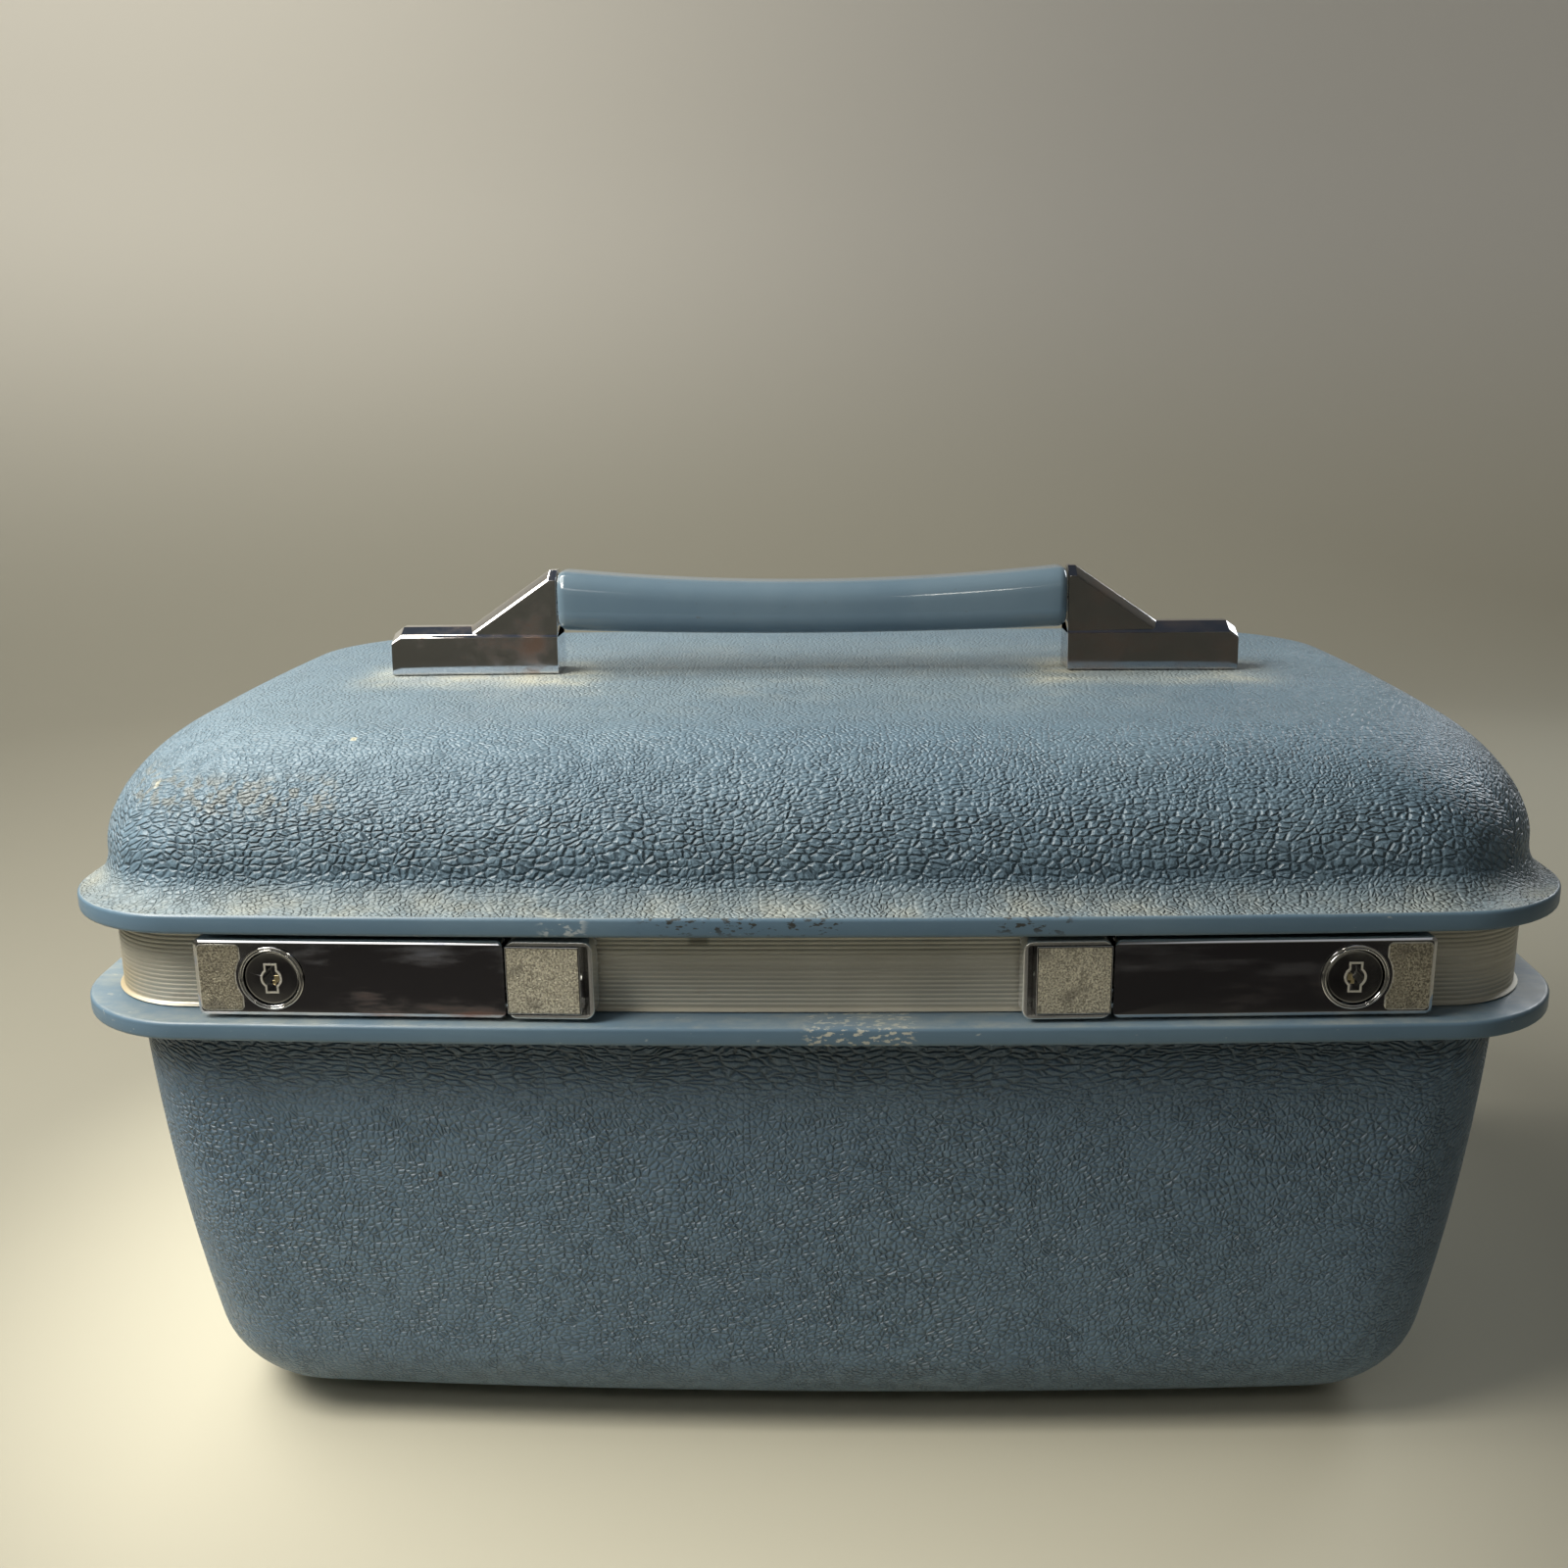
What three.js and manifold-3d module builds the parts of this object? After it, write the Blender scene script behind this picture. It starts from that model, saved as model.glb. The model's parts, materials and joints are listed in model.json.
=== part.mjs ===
// A hard-shell cosmetic case: a moulded tub and lid with flanged rims, an aluminium band
// between them, two hinged latches with locks, a fixed handle, rear hinges, a folding stay,
// linings, a lid mirror and a lift-out tray.
// Millimetres, +X right, +Y to the back, +Z up, origin on the floor under the middle.

import * as THREE from 'three';
import { mergeVertices } from 'three/addons/utils/BufferGeometryUtils.js';
import Module from 'manifold-3d';

const wasm = await Module();
wasm.setup();

// Overall sizes
const caseWidth = 350;
const caseDepth = 234;
const footHeight = 4;
const bodyRimHeight = 116.6;
const bandGap = 20.8;
const lidRise = 34.8;
const frontBow = 5.3;
const sideBow = 3.7;
const seatGap = 0.3;

// Shells
const shellWall = 2.2;
const flangeCornerRadius = 29;
const bodyFlangeThickness = 4.4;
const lidFlangeThickness = 4.6;
const flangeEdgeRound = 0.9;
const bodySideOverhang = 10;
const bodyFrontOverhang = 9.8;
const bodyCornerRadius = 22;
const bodyFootCornerRadius = 27;
const bodyTaper = 11;
const taperStraightShare = 0.27;
const depthTaperShare = 0.8;
const bottomRadius = 20;
const flangeRootRound = 3;
const lidSideOverhang = 3.7;
const lidFrontOverhang = 9.4;
const lidCornerRadius = 30;
const lidShoulderRise = 26.3;
const lidSideShoulder = 24;
const lidFrontShoulder = 31;
const lidShoulderPower = 1.85;
const lidCornerGrowthShare = 0.25;
const lidCrown = 0.5;
const lidFillet = 7;

// Band on the body's rim
const bandThickness = 1.5;
const bandSideOverhang = 7;
const bandFrontOverhang = 9.6;
const bandCornerRadius = 20.5;
const bandLip = 0.9;
const bandLipHeight = 0.2;
const skirtGap = 0.9;
const skirtThickness = 1.2;
const skirtDepth = 10.6;

// Strip inside the lid's rim, with a tongue that enters the band
const tongueClearance = 1.3;
const lidStripThickness = 1.2;
const lidStripCornerRadius = 24;
const lidStripRise = 11;
const tongueDepth = 6;
const rearTongueMargin = 39;

// Linings
const liningGap = 0.3;
const bodyLiningThickness = 1.4;
const bodyLiningDrop = 11.8;
const lidLiningThickness = 1.2;
const lidLiningDrop = 3.6;

// Feet
const footRadius = 8;
const footTopRadius = 9.5;
const footPegRadius = 2.5;
const footEndMargin = 63;
const footFrontMargin = 59;

// Latches, measured from the middle of each latch
const latchEndMargin = 37.9;
const latchLength = 90.2;
const latchDrop = 0.4;
const latchHeight = 18.2;
const latchProud = 7;
const latchPlateThickness = 1.4;
const latchRim = 0.9;
const latchCorner = 1.6;
const haspFaceThickness = 0.8;
const haspBevel = 0.6;
const haspRimDepth = 3.6;
const haspInnerEnd = 25.2;
const haspGap = 0.4;
const buttonTravelGap = 2;
const buttonProud = 0.2;
const buttonBack = 2.3;
const buttonRim = 0.3;
const catchLength = 4;
const catchHeight = 6;
const catchThickness = 1;
const haspAxisOut = 4.9;
const haspAxisDown = 7.2;
const haspPinRadius = 0.6;
const pinHoleRadius = 0.78;
const knuckleRadius = 1;
const knuckleWidth = 2.8;
const knuckleGap = 0.4;
const outerKnuckleInset = 5;
const middleKnuckle = 12;
const innerKnuckle = 19;
const lockCentre = 27.4;
const lockRingRadius = 7.4;
const lockBarrelRadius = 6.8;
const lockRingRim = 1;
const keyPlugGap = 0.25;
const lockRingProud = 0.6;
const lockRingBack = 5.8;
const keyPlugBack = 3;
const keyholeRadius = 1.7;
const keyholeSlotWidth = 2.2;
const keyholeHeight = 6.6;
const keyholeDepth = 2.4;
const hookWidth = 7;
const hookThickness = 2;
const hookHeight = 3;
const hookReach = 9.2;
const hookWindowTop = 6.3;
const hookWindowBottom = 1.5;
const hookWindowSide = 0.6;
const latchRivetRadius = 2.2;
const latchRivetInset = 0.4;
const latchRivetDrop = 2;
const rivetShankRadius = 1.2;
const rivetHoleRadius = 1.5;
const rivetHeadThickness = 0.9;
const rivetTailThickness = 0.45;
const popSpringWidth = 5;
const popSpringThickness = 0.4;
const popSpringLength = 18;
const coilRadius = 1.3;
const coilWireRadius = 0.3;
const coilLength = 5.5;
const coilTurns = 5;
const strikerWidth = 13;
const strikerThickness = 1.2;
const strikerRise = 9;
const strikerNose = 2.2;

// Rear hinges
const hingeEndMargin = 103;
const hingeWidth = 32;
const hingeOut = 4.4;
const hingeKnuckleRadius = 2.6;
const hingePinRadius = 1.1;
const hingeHoleRadius = 1.35;
const leafThickness = 1;
const leafHeight = 15;
const hingeKnuckleShare = 0.24;
const lidLeafWidth = 28;
const lidLeafFoot = 7;
const hingeRivetSpacing = 20;
const hingeScrewRadius = 1.2;
const hingeScrewDepth = 3;
const hingeScrewHeadRadius = 2.3;
const hingeScrewHead = 1.1;

// Folding stay on the right, a rhombus of the hinge axis, two pivots and the knee
const stayRadius = 45;
const stayHalfAngle = Math.PI / 12;
const stayWidth = 7.5;
const stayThickness = 1.2;
const stayStudRadius = 1.4;
const stayHoleRadius = 1.75;
const stayHeadRadius = 2.6;
const stayHeadThickness = 0.9;
const stayGap = 0.4;
const stayBaseRadius = 4;

// Tray and its ledges
const traySideMargin = 14.5;
const trayFrontMargin = 11.7;
const trayCornerRadius = 15;
const trayHeight = 22;
const trayWall = 2;
const trayTopBelowRim = 3;
const trayRib = 2;
const trayFrontShare = 0.42;
const ledgeEndMargin = 52;
const ledgeReach = 11;
const ledgeThickness = 2;
const ledgeRise = 9;

// Mirror in the lid
const mirrorEndMargin = 66.3;
const mirrorFrontMargin = 39.6;
const mirrorThickness = 3;
const mirrorCorner = 12;

// Handle
const gripHalfLength = 70.2;
const bracketStart = 70.7;
const bracketEnd = 117.5;
const bracketDepth = 14;
const bracketBlock = 10.8;
const bracketCrown = 1.9;
const bracketApex = 26.4;
const bracketCrest = 2.2;
const bracketRampFoot = 25;
const bracketBevel = 2.6;
const gripDepth = 18;
const gripHeight = 16.6;
const gripSag = 3.6;
const gripUnderSag = 1.4;
const gripCorner = 6;
const gripEndRound = 2.5;
const gripRise = 1.9;
const coreHalfLength = 78;
const coreDepth = 10;
const coreThickness = 3;
const coreClearance = 0.4;
const bracketScrewRadius = 1.6;
const bracketScrewHole = 2;
const bracketScrewHead = 3.6;
const bracketScrewHeadThickness = 2;
const bracketScrewDepth = 8;
const bracketScrewEnds = 9;

// Numbers of steps round the curves
const cornerSteps = 4;
const frontSteps = 6;
const sideSteps = 4;
const filletSteps = 4;
const shoulderSteps = 6;
const topRingShares = [0.35, 0.7];
const wallSteps = 4;
const roundSides = 16;
const smallSides = 12;
const gripSteps = 8;
const coilWireSides = 5;
const coilTurnSteps = 8;

// Heights and half sizes that follow from the sizes above
const halfWidth = caseWidth / 2;
const halfDepth = caseDepth / 2;
const latchCentre = halfWidth - latchEndMargin - latchLength / 2;
const hingeCentre = halfWidth - hingeEndMargin;
const footX = halfWidth - footEndMargin;
const footY = halfDepth - footFrontMargin;
const ledgeLength = 2 * (halfDepth - ledgeEndMargin);
const rearTongueStart = halfDepth - rearTongueMargin;
const lidRimHeight = bodyRimHeight + bandGap;
const lidFlangeTop = lidRimHeight + lidFlangeThickness;
const lidTop = lidFlangeTop + lidRise - lidCrown;
const bandMiddle = (bodyRimHeight + lidRimHeight) / 2;
const latchMiddle = bandMiddle - latchDrop;
const haspEnd = latchLength / 2;
const latchRivetCentre = haspEnd - latchRivetInset;
const buttonFace = latchProud + buttonProud;
const lockBoreRadius = lockRingRadius - lockRingRim;
const keyPlugRadius = lockBoreRadius - keyPlugGap;
const bodyWallTop = bodyRimHeight - bodyFlangeThickness;
const bodyHalfWidth = halfWidth - bodySideOverhang;
const bodyHalfDepth = halfDepth - bodyFrontOverhang;
const lidHalfWidth = halfWidth - lidSideOverhang;
const lidHalfDepth = halfDepth - lidFrontOverhang;
const bandHalfWidth = halfWidth - bandSideOverhang;
const bandHalfDepth = halfDepth - bandFrontOverhang;
const trayHalfWidth = bodyHalfWidth - traySideMargin;
const trayHalfDepth = bodyHalfDepth - trayFrontMargin;
const mirrorWidth = 2 * (lidHalfWidth - mirrorEndMargin);
const mirrorDepth = 2 * (lidHalfDepth - mirrorFrontMargin);

// Materials
function finish(color, roughness, metalness) {
  return new THREE.MeshStandardMaterial({ color, roughness, metalness });
}
const materials = {
  shell: finish(0x6f8da3, 0.5, 0),
  grip: finish(0x66869b, 0.2, 0),
  band: finish(0xb9b3a4, 0.35, 1),
  chrome: finish(0xd8d8d8, 0.08, 1),
  pewter: finish(0x8f8b80, 0.6, 1),
  steel: finish(0xa7a7a7, 0.35, 1),
  rivet: finish(0x9a8f6a, 0.5, 1),
  rubber: finish(0x2b2b2d, 0.8, 0),
  lining: finish(0xb9c6cf, 0.9, 0),
  mirror: finish(0xe8eef0, 0.03, 1),
  tray: finish(0xd7dde0, 0.45, 0),
};

// Solids: every shape is kept as a manifold until it becomes a mesh
function solidOf(geometry) {
  const bare = geometry.clone();
  bare.deleteAttribute('normal');
  bare.deleteAttribute('uv');
  const merged = mergeVertices(bare);
  const positions = merged.getAttribute('position').array;
  const indices = merged.index.array;
  return new wasm.Manifold(
    new wasm.Mesh({
      numProp: 3,
      vertProperties: new Float32Array(positions),
      triVerts: new Uint32Array(indices),
    }),
  );
}

function geometryOf(solid) {
  const mesh = solid.getMesh();
  const geometry = new THREE.BufferGeometry();
  geometry.setAttribute('position', new THREE.BufferAttribute(mesh.vertProperties, 3));
  geometry.setIndex(new THREE.BufferAttribute(mesh.triVerts, 1));
  geometry.computeVertexNormals();
  return geometry;
}

function joined(solids) {
  return solids.reduce((sum, next) => sum.add(next));
}

function cut(solid, tools) {
  return tools.reduce((rest, tool) => rest.subtract(tool), solid);
}

function placeMesh(parent, name, solid, material) {
  const mesh = new THREE.Mesh(geometryOf(solid), material);
  mesh.name = name;
  parent.add(mesh);
  return mesh;
}

// Boxes, prisms and cylinders along each axis
function box(low, high) {
  const size = high.map((value, axis) => value - low[axis]);
  const geometry = new THREE.BoxGeometry(...size);
  geometry.translate(...high.map((value, axis) => (value + low[axis]) / 2));
  return solidOf(geometry);
}

function extruded(points, length) {
  const shape = new THREE.Shape(points.map(([a, b]) => new THREE.Vector2(a, b)));
  return new THREE.ExtrudeGeometry(shape, { depth: length, bevelEnabled: false, steps: 1 });
}

function prismZ(points, low, high) {
  const geometry = extruded(points, high - low);
  geometry.translate(0, 0, low);
  return solidOf(geometry);
}

// Points are pairs of y and z
function prismX(points, low, high) {
  const geometry = extruded(points, high - low);
  const turn = new THREE.Matrix4().set(0, 0, 1, low, 1, 0, 0, 0, 0, 1, 0, 0, 0, 0, 0, 1);
  return solidOf(geometry.applyMatrix4(turn));
}

// Points are pairs of x and z
function prismY(points, low, high) {
  const geometry = extruded(points.map(([x, z]) => [z, x]), high - low);
  const turn = new THREE.Matrix4().set(0, 1, 0, 0, 0, 0, 1, low, 1, 0, 0, 0, 0, 0, 0, 1);
  return solidOf(geometry.applyMatrix4(turn));
}

function circle(radius, centreA, centreB, sides = roundSides) {
  return Array.from({ length: sides }, (_, i) => {
    const angle = (2 * Math.PI * (i + 0.5)) / sides;
    return [centreA + radius * Math.cos(angle), centreB + radius * Math.sin(angle)];
  });
}

function roundedRectangle(lowA, highA, lowB, highB, radius, steps = 3) {
  const corners = [
    [highA - radius, lowB + radius, -Math.PI / 2],
    [highA - radius, highB - radius, 0],
    [lowA + radius, highB - radius, Math.PI / 2],
    [lowA + radius, lowB + radius, Math.PI],
  ];
  const points = [];
  for (const [a, b, start] of corners) {
    for (let i = 0; i <= steps; i += 1) {
      const angle = start + (i / steps) * (Math.PI / 2);
      points.push([a + radius * Math.cos(angle), b + radius * Math.sin(angle)]);
    }
  }
  return points;
}

// One ring of the case's plan: a rounded rectangle whose sides bow outwards
function ring(width, depth, radius, height, bowShare = 1) {
  const endBow = sideBow * bowShare;
  const faceBow = frontBow * bowShare;
  const flatWidth = width - endBow;
  const flatDepth = depth - faceBow;
  const corners = [
    [1, -1, -Math.PI / 2],
    [1, 1, 0],
    [-1, 1, Math.PI / 2],
    [-1, -1, Math.PI],
  ];
  const plan = [];
  corners.forEach(([sideX, sideY, start], index) => {
    for (let i = 0; i <= cornerSteps; i += 1) {
      const angle = start + (i / cornerSteps) * (Math.PI / 2);
      plan.push([
        sideX * (flatWidth - radius) + radius * Math.cos(angle),
        sideY * (flatDepth - radius) + radius * Math.sin(angle),
      ]);
    }
    const [nextX, nextY] = corners[(index + 1) % corners.length];
    const alongFront = sideY === nextY;
    const steps = alongFront ? frontSteps : sideSteps;
    for (let i = 1; i < steps; i += 1) {
      const share = i / steps;
      const reachX = flatWidth - (alongFront ? radius : 0);
      const reachY = flatDepth - (alongFront ? 0 : radius);
      plan.push([
        reachX * (sideX + (nextX - sideX) * share),
        reachY * (sideY + (nextY - sideY) * share),
      ]);
    }
  });
  return plan.map(([x, y]) => {
    const bowedX = x * (1 + (endBow / flatWidth) * (1 - (y / depth) ** 2));
    const bowedY = y * (1 + (faceBow / flatDepth) * (1 - (x / width) ** 2));
    return new THREE.Vector3(bowedX, bowedY, height);
  });
}

// A closed surface through rings of equal count: ends are capped, or joined in a loop
function loft(rings, looped = false) {
  const count = rings[0].length;
  const positions = rings.flat().flatMap((point) => [point.x, point.y, point.z]);
  const faces = [];
  const bands = looped ? rings.length : rings.length - 1;
  for (let r = 0; r < bands; r += 1) {
    const next = (r + 1) % rings.length;
    for (let i = 0; i < count; i += 1) {
      const j = (i + 1) % count;
      faces.push([r * count + i, r * count + j, next * count + j]);
      faces.push([r * count + i, next * count + j, next * count + i]);
    }
  }
  if (!looped) {
    for (const r of [0, rings.length - 1]) {
      const centre = new THREE.Vector3();
      rings[r].forEach((point) => centre.addScaledVector(point, 1 / count));
      const tip = positions.length / 3;
      positions.push(centre.x, centre.y, centre.z);
      for (let i = 0; i < count; i += 1) {
        const j = (i + 1) % count;
        faces.push(r === 0 ? [tip, r * count + j, r * count + i] : [tip, r * count + i, r * count + j]);
      }
    }
  }
  return solidOf(outwardGeometry(positions, faces));
}

function outwardGeometry(positions, faces) {
  const at = (i) => new THREE.Vector3().fromArray(positions, 3 * i);
  const volume = faces.reduce((sum, [a, b, c]) => sum + at(a).dot(at(b).cross(at(c))), 0);
  const facing = volume > 0 ? faces : faces.map(([a, b, c]) => [a, c, b]);
  const geometry = new THREE.BufferGeometry();
  geometry.setAttribute('position', new THREE.Float32BufferAttribute(positions, 3));
  geometry.setIndex(facing.flat());
  return geometry;
}

// Distance of the band's front or rear face from the middle plane at a given x
function bandFaceAt(x) {
  return bandHalfDepth - frontBow * (x / bandHalfWidth) ** 2;
}

// How far the body's wall has drawn in at a height: straight runs between shared levels
function taperAtShare(share) {
  return bodyTaper * (taperStraightShare * share + (1 - taperStraightShare) * share * share);
}

function bodyInset(height) {
  const fall = Math.max(0, (bodyWallTop - height) / (bodyWallTop - footHeight));
  const step = Math.min(Math.floor(fall * wallSteps), wallSteps - 1);
  const low = taperAtShare(step / wallSteps);
  const high = taperAtShare((step + 1) / wallSteps);
  return low + (high - low) * (fall * wallSteps - step);
}

function bodyLevel(step) {
  return bodyWallTop - (step / wallSteps) * (bodyWallTop - footHeight);
}

function bodyRing(height, inset) {
  const fall = Math.max(0, (bodyWallTop - height) / (bodyWallTop - footHeight));
  const radius = bodyCornerRadius + (bodyFootCornerRadius - bodyCornerRadius) * fall;
  const taper = bodyInset(height);
  return ring(
    bodyHalfWidth - taper - inset,
    bodyHalfDepth - depthTaperShare * taper - inset,
    radius - Math.min(inset, radius / 2),
    height,
  );
}

// Rings of the tub's surface, set in by a depth, from the middle of the floor to a height
function bodySkin(depthIn, top) {
  const floor = footHeight + depthIn;
  const radius = bottomRadius - depthIn;
  const rings = [];
  for (let i = 0; i <= filletSteps; i += 1) {
    const angle = (i / filletSteps) * (Math.PI / 2);
    const height = floor + radius * (1 - Math.cos(angle));
    rings.push(bodyRing(height, depthIn + radius * (1 - Math.sin(angle))));
  }
  for (let step = wallSteps - 1; step >= 0; step -= 1) {
    const level = bodyLevel(step);
    if (level > floor + radius && level < top) {
      rings.push(bodyRing(level, depthIn));
    }
  }
  rings.push(bodyRing(top, depthIn));
  return rings;
}

function flangeRing(overhang, height) {
  return ring(halfWidth - overhang, halfDepth - overhang, flangeCornerRadius - overhang, height);
}

function bodyShell() {
  const under = bodyWallTop;
  const rings = [
    ...bodySkin(0, under - flangeRootRound),
    bodyRing(under - flangeRootRound / 4, -flangeRootRound / 4),
    bodyRing(under, -flangeRootRound),
    flangeRing(flangeEdgeRound, under),
    flangeRing(0, under + flangeEdgeRound),
    flangeRing(0, bodyRimHeight - flangeEdgeRound),
    flangeRing(flangeEdgeRound, bodyRimHeight),
    ...bodySkin(shellWall, bodyRimHeight).reverse(),
  ];
  const holes = footPlaces().map(([x, y]) => footHole(x, y));
  return cut(loft(rings), holes);
}

// Lid: rings from the middle of the top down to the foot of its wall
function lidRing(inset, height, sideInset = 0, frontInset = 0) {
  const radius = lidCornerRadius - inset / 2 + frontInset * lidCornerGrowthShare;
  const width = lidHalfWidth - inset - sideInset;
  return ring(width, lidHalfDepth - inset - frontInset, radius, height);
}

function lidSkin(depthIn, topDrop, foot, crown) {
  const top = lidTop - topDrop;
  const rise = lidShoulderRise - depthIn;
  const side = lidSideShoulder - depthIn;
  const front = lidFrontShoulder - depthIn;
  const rings = [];
  for (const share of topRingShares) {
    const radius = (lidCornerRadius - depthIn / 2 + front * lidCornerGrowthShare) * share;
    const width = (lidHalfWidth - depthIn - side) * share;
    const depth = (lidHalfDepth - depthIn - front) * share;
    rings.push(ring(width, depth, radius, top + crown * (1 - share * share), share));
  }
  for (let i = 0; i <= shoulderSteps; i += 1) {
    const angle = (1 - i / shoulderSteps) * (Math.PI / 2);
    const inward = 1 - Math.max(Math.cos(angle), 0) ** (2 / lidShoulderPower);
    const upward = Math.sin(angle) ** (2 / lidShoulderPower);
    rings.push(lidRing(depthIn, top - rise + rise * upward, side * inward, front * inward));
  }
  rings.push(lidRing(depthIn, foot));
  return rings;
}

// Height of the lid's outer surface over the handle, which stands on the middle line
function lidSurfaceAt(x) {
  const share = Math.abs(x) / (lidHalfWidth - lidSideShoulder);
  return lidTop + lidCrown * (1 - share * share);
}

function lidShell() {
  const reach = lidSideOverhang - flangeEdgeRound;
  const rings = [
    ...lidSkin(0, 0, lidFlangeTop + lidFillet, lidCrown),
    lidRing(-reach / 6, lidFlangeTop + lidFillet / 2),
    lidRing(-reach / 2, lidFlangeTop + lidFillet / 6),
    flangeRing(flangeEdgeRound, lidFlangeTop),
    flangeRing(0, lidFlangeTop - flangeEdgeRound),
    flangeRing(0, lidRimHeight + flangeEdgeRound),
    flangeRing(flangeEdgeRound, lidRimHeight),
    lidRing(shellWall, lidRimHeight),
    ...lidSkin(shellWall, shellWall, lidFlangeTop + lidFillet, lidCrown).reverse(),
  ];
  const screwHoles = bracketScrewPlaces().map((x) =>
    prismZ(circle(bracketScrewHole, x, 0, smallSides), lidTop - lidShoulderRise, lidTop + lidRise),
  );
  const hingeHoles = [-1, 1].map((side) => hingeScrewHole(side));
  return cut(loft(rings), [...screwHoles, ...hingeHoles]);
}

// Band: an aluminium section that stands on the tub's rim and hangs inside its wall
function bodyFrame() {
  const shelfBottom = bodyRimHeight + seatGap;
  const shelfTop = shelfBottom + bandThickness;
  const top = lidRimHeight - seatGap;
  const bottom = bodyRimHeight - skirtDepth;
  const outer = (offset, height) =>
    ring(bandHalfWidth + offset, bandHalfDepth + offset, bandCornerRadius + offset, height);
  const skirt = (offset, height) => {
    const inset = shellWall + skirtGap + offset;
    return ring(bodyHalfWidth - inset, bodyHalfDepth - inset, bodyCornerRadius - inset, height);
  };
  const section = [
    skirt(0, bottom),
    skirt(0, shelfBottom),
    outer(bandLip, shelfBottom),
    outer(bandLip, shelfBottom + bandLipHeight),
    outer(0, shelfBottom + bandLipHeight),
    outer(0, top),
    outer(-bandThickness, top),
    outer(-bandThickness, shelfTop),
    skirt(skirtThickness, shelfTop),
    skirt(skirtThickness, bottom),
  ];
  const holes = [];
  for (const side of [-1, 1]) {
    const toCase = latchPlacement(side);
    holes.push(latchWindow(side).transform(toCase));
    holes.push(latchRivetHole(side).transform(toCase));
    for (const x of hingeRivetPlaces(side)) {
      const behind = bandFaceAt(x) - 2 * bandThickness;
      holes.push(alongY(rivetHoleRadius, x, hingeRivetHeight, behind, halfDepth));
    }
  }
  return cut(loft(section, true), holes);
}

// Strip inside the lid's rim
function lidFrameRing(offset, height) {
  const inset = bandThickness + tongueClearance + offset;
  return ring(bandHalfWidth - inset, bandHalfDepth - inset, lidStripCornerRadius - offset, height);
}

function lidFrame() {
  const bottom = lidRimHeight - tongueDepth;
  const top = lidRimHeight + lidStripRise;
  const strip = loft(
    [
      lidFrameRing(0, bottom),
      lidFrameRing(0, top),
      lidFrameRing(lidStripThickness, top),
      lidFrameRing(lidStripThickness, bottom),
    ],
    true,
  );
  const rearCut = box(
    [-halfWidth, rearTongueStart, bottom - tongueDepth],
    [halfWidth, halfDepth, lidRimHeight + seatGap],
  );
  return cut(strip, [rearCut]);
}

function bodyLining() {
  const top = bodyRimHeight - bodyLiningDrop;
  const outside = shellWall + liningGap;
  const rings = [...bodySkin(outside, top), ...bodySkin(outside + bodyLiningThickness, top).reverse()];
  return loft(rings);
}

function lidLining() {
  const stripOutside = bandSideOverhang - lidSideOverhang + bandThickness + tongueClearance;
  const outside = stripOutside + lidStripThickness + liningGap;
  const foot = lidRimHeight + lidStripRise + seatGap;
  const drop = shellWall + lidLiningDrop;
  const rings = [
    ...lidSkin(outside, drop, foot, 0),
    ...lidSkin(outside + lidLiningThickness, drop + lidLiningThickness, foot, 0).reverse(),
  ];
  return loft(rings);
}

function lidMirror() {
  const top = lidTop - shellWall - lidLiningDrop - lidLiningThickness - seatGap;
  const outline = roundedRectangle(
    -mirrorWidth / 2,
    mirrorWidth / 2,
    -mirrorDepth / 2,
    mirrorDepth / 2,
    mirrorCorner,
    4,
  );
  return prismZ(outline, top - mirrorThickness, top);
}

// Feet: rubber buttons, each with a peg through the floor of the tub
function footPlaces() {
  return [
    [-footX, -footY],
    [footX, -footY],
    [-footX, footY],
    [footX, footY],
  ];
}

function footHole(x, y) {
  const hole = circle(footPegRadius + seatGap, x, y, smallSides);
  return prismZ(hole, 0, footHeight + 2 * shellWall);
}

function foot(x, y) {
  const top = footHeight - seatGap;
  const profile = [
    new THREE.Vector2(0, 0),
    new THREE.Vector2(footRadius, 0),
    new THREE.Vector2(footTopRadius, top / 2),
    new THREE.Vector2(footTopRadius, top),
    new THREE.Vector2(footPegRadius, top),
    new THREE.Vector2(footPegRadius, footHeight + shellWall),
    new THREE.Vector2(0, footHeight + shellWall),
  ];
  const geometry = new THREE.LatheGeometry(profile, roundSides);
  geometry.rotateX(Math.PI / 2);
  geometry.translate(x, y, 0);
  return solidOf(geometry);
}

// Latches: u runs from the middle of the latch to its outer end, out stands for the
// distance in front of the band, and z is measured from the band's middle line
function latchPlacement(side) {
  const angle = Math.atan((2 * frontBow * latchCentre) / bandHalfWidth ** 2);
  const matrix = new THREE.Matrix4().makeRotationZ(side * angle);
  matrix.setPosition(side * latchCentre, -bandFaceAt(latchCentre), latchMiddle);
  return matrix.elements;
}

function latchBox(side, [fromU, toU], [fromOut, toOut], [fromZ, toZ]) {
  const ends = [side * fromU, side * toU].sort((a, b) => a - b);
  return box([ends[0], -toOut, fromZ], [ends[1], -fromOut, toZ]);
}

function latchFace(side, points, fromOut, toOut) {
  const placed = points.map(([u, z]) => [side * u, z]);
  return prismY(placed, -toOut, -fromOut);
}

function alongY(radius, x, z, low, high, sides = smallSides) {
  return prismY(circle(radius, x, z, sides), low, high);
}

function alongX(radius, y, z, low, high, sides = smallSides) {
  return prismX(circle(radius, y, z, sides), low, high);
}

function latchWindow(side) {
  const half = hookWidth / 2 + hookWindowSide;
  return latchBox(side, [-half, half], [-hookReach, latchProud / 2], [hookWindowBottom, hookWindowTop]);
}

function latchRivetHole(side) {
  return alongY(rivetHoleRadius, side * latchRivetCentre, -latchRivetDrop, -latchProud, latchProud);
}

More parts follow.
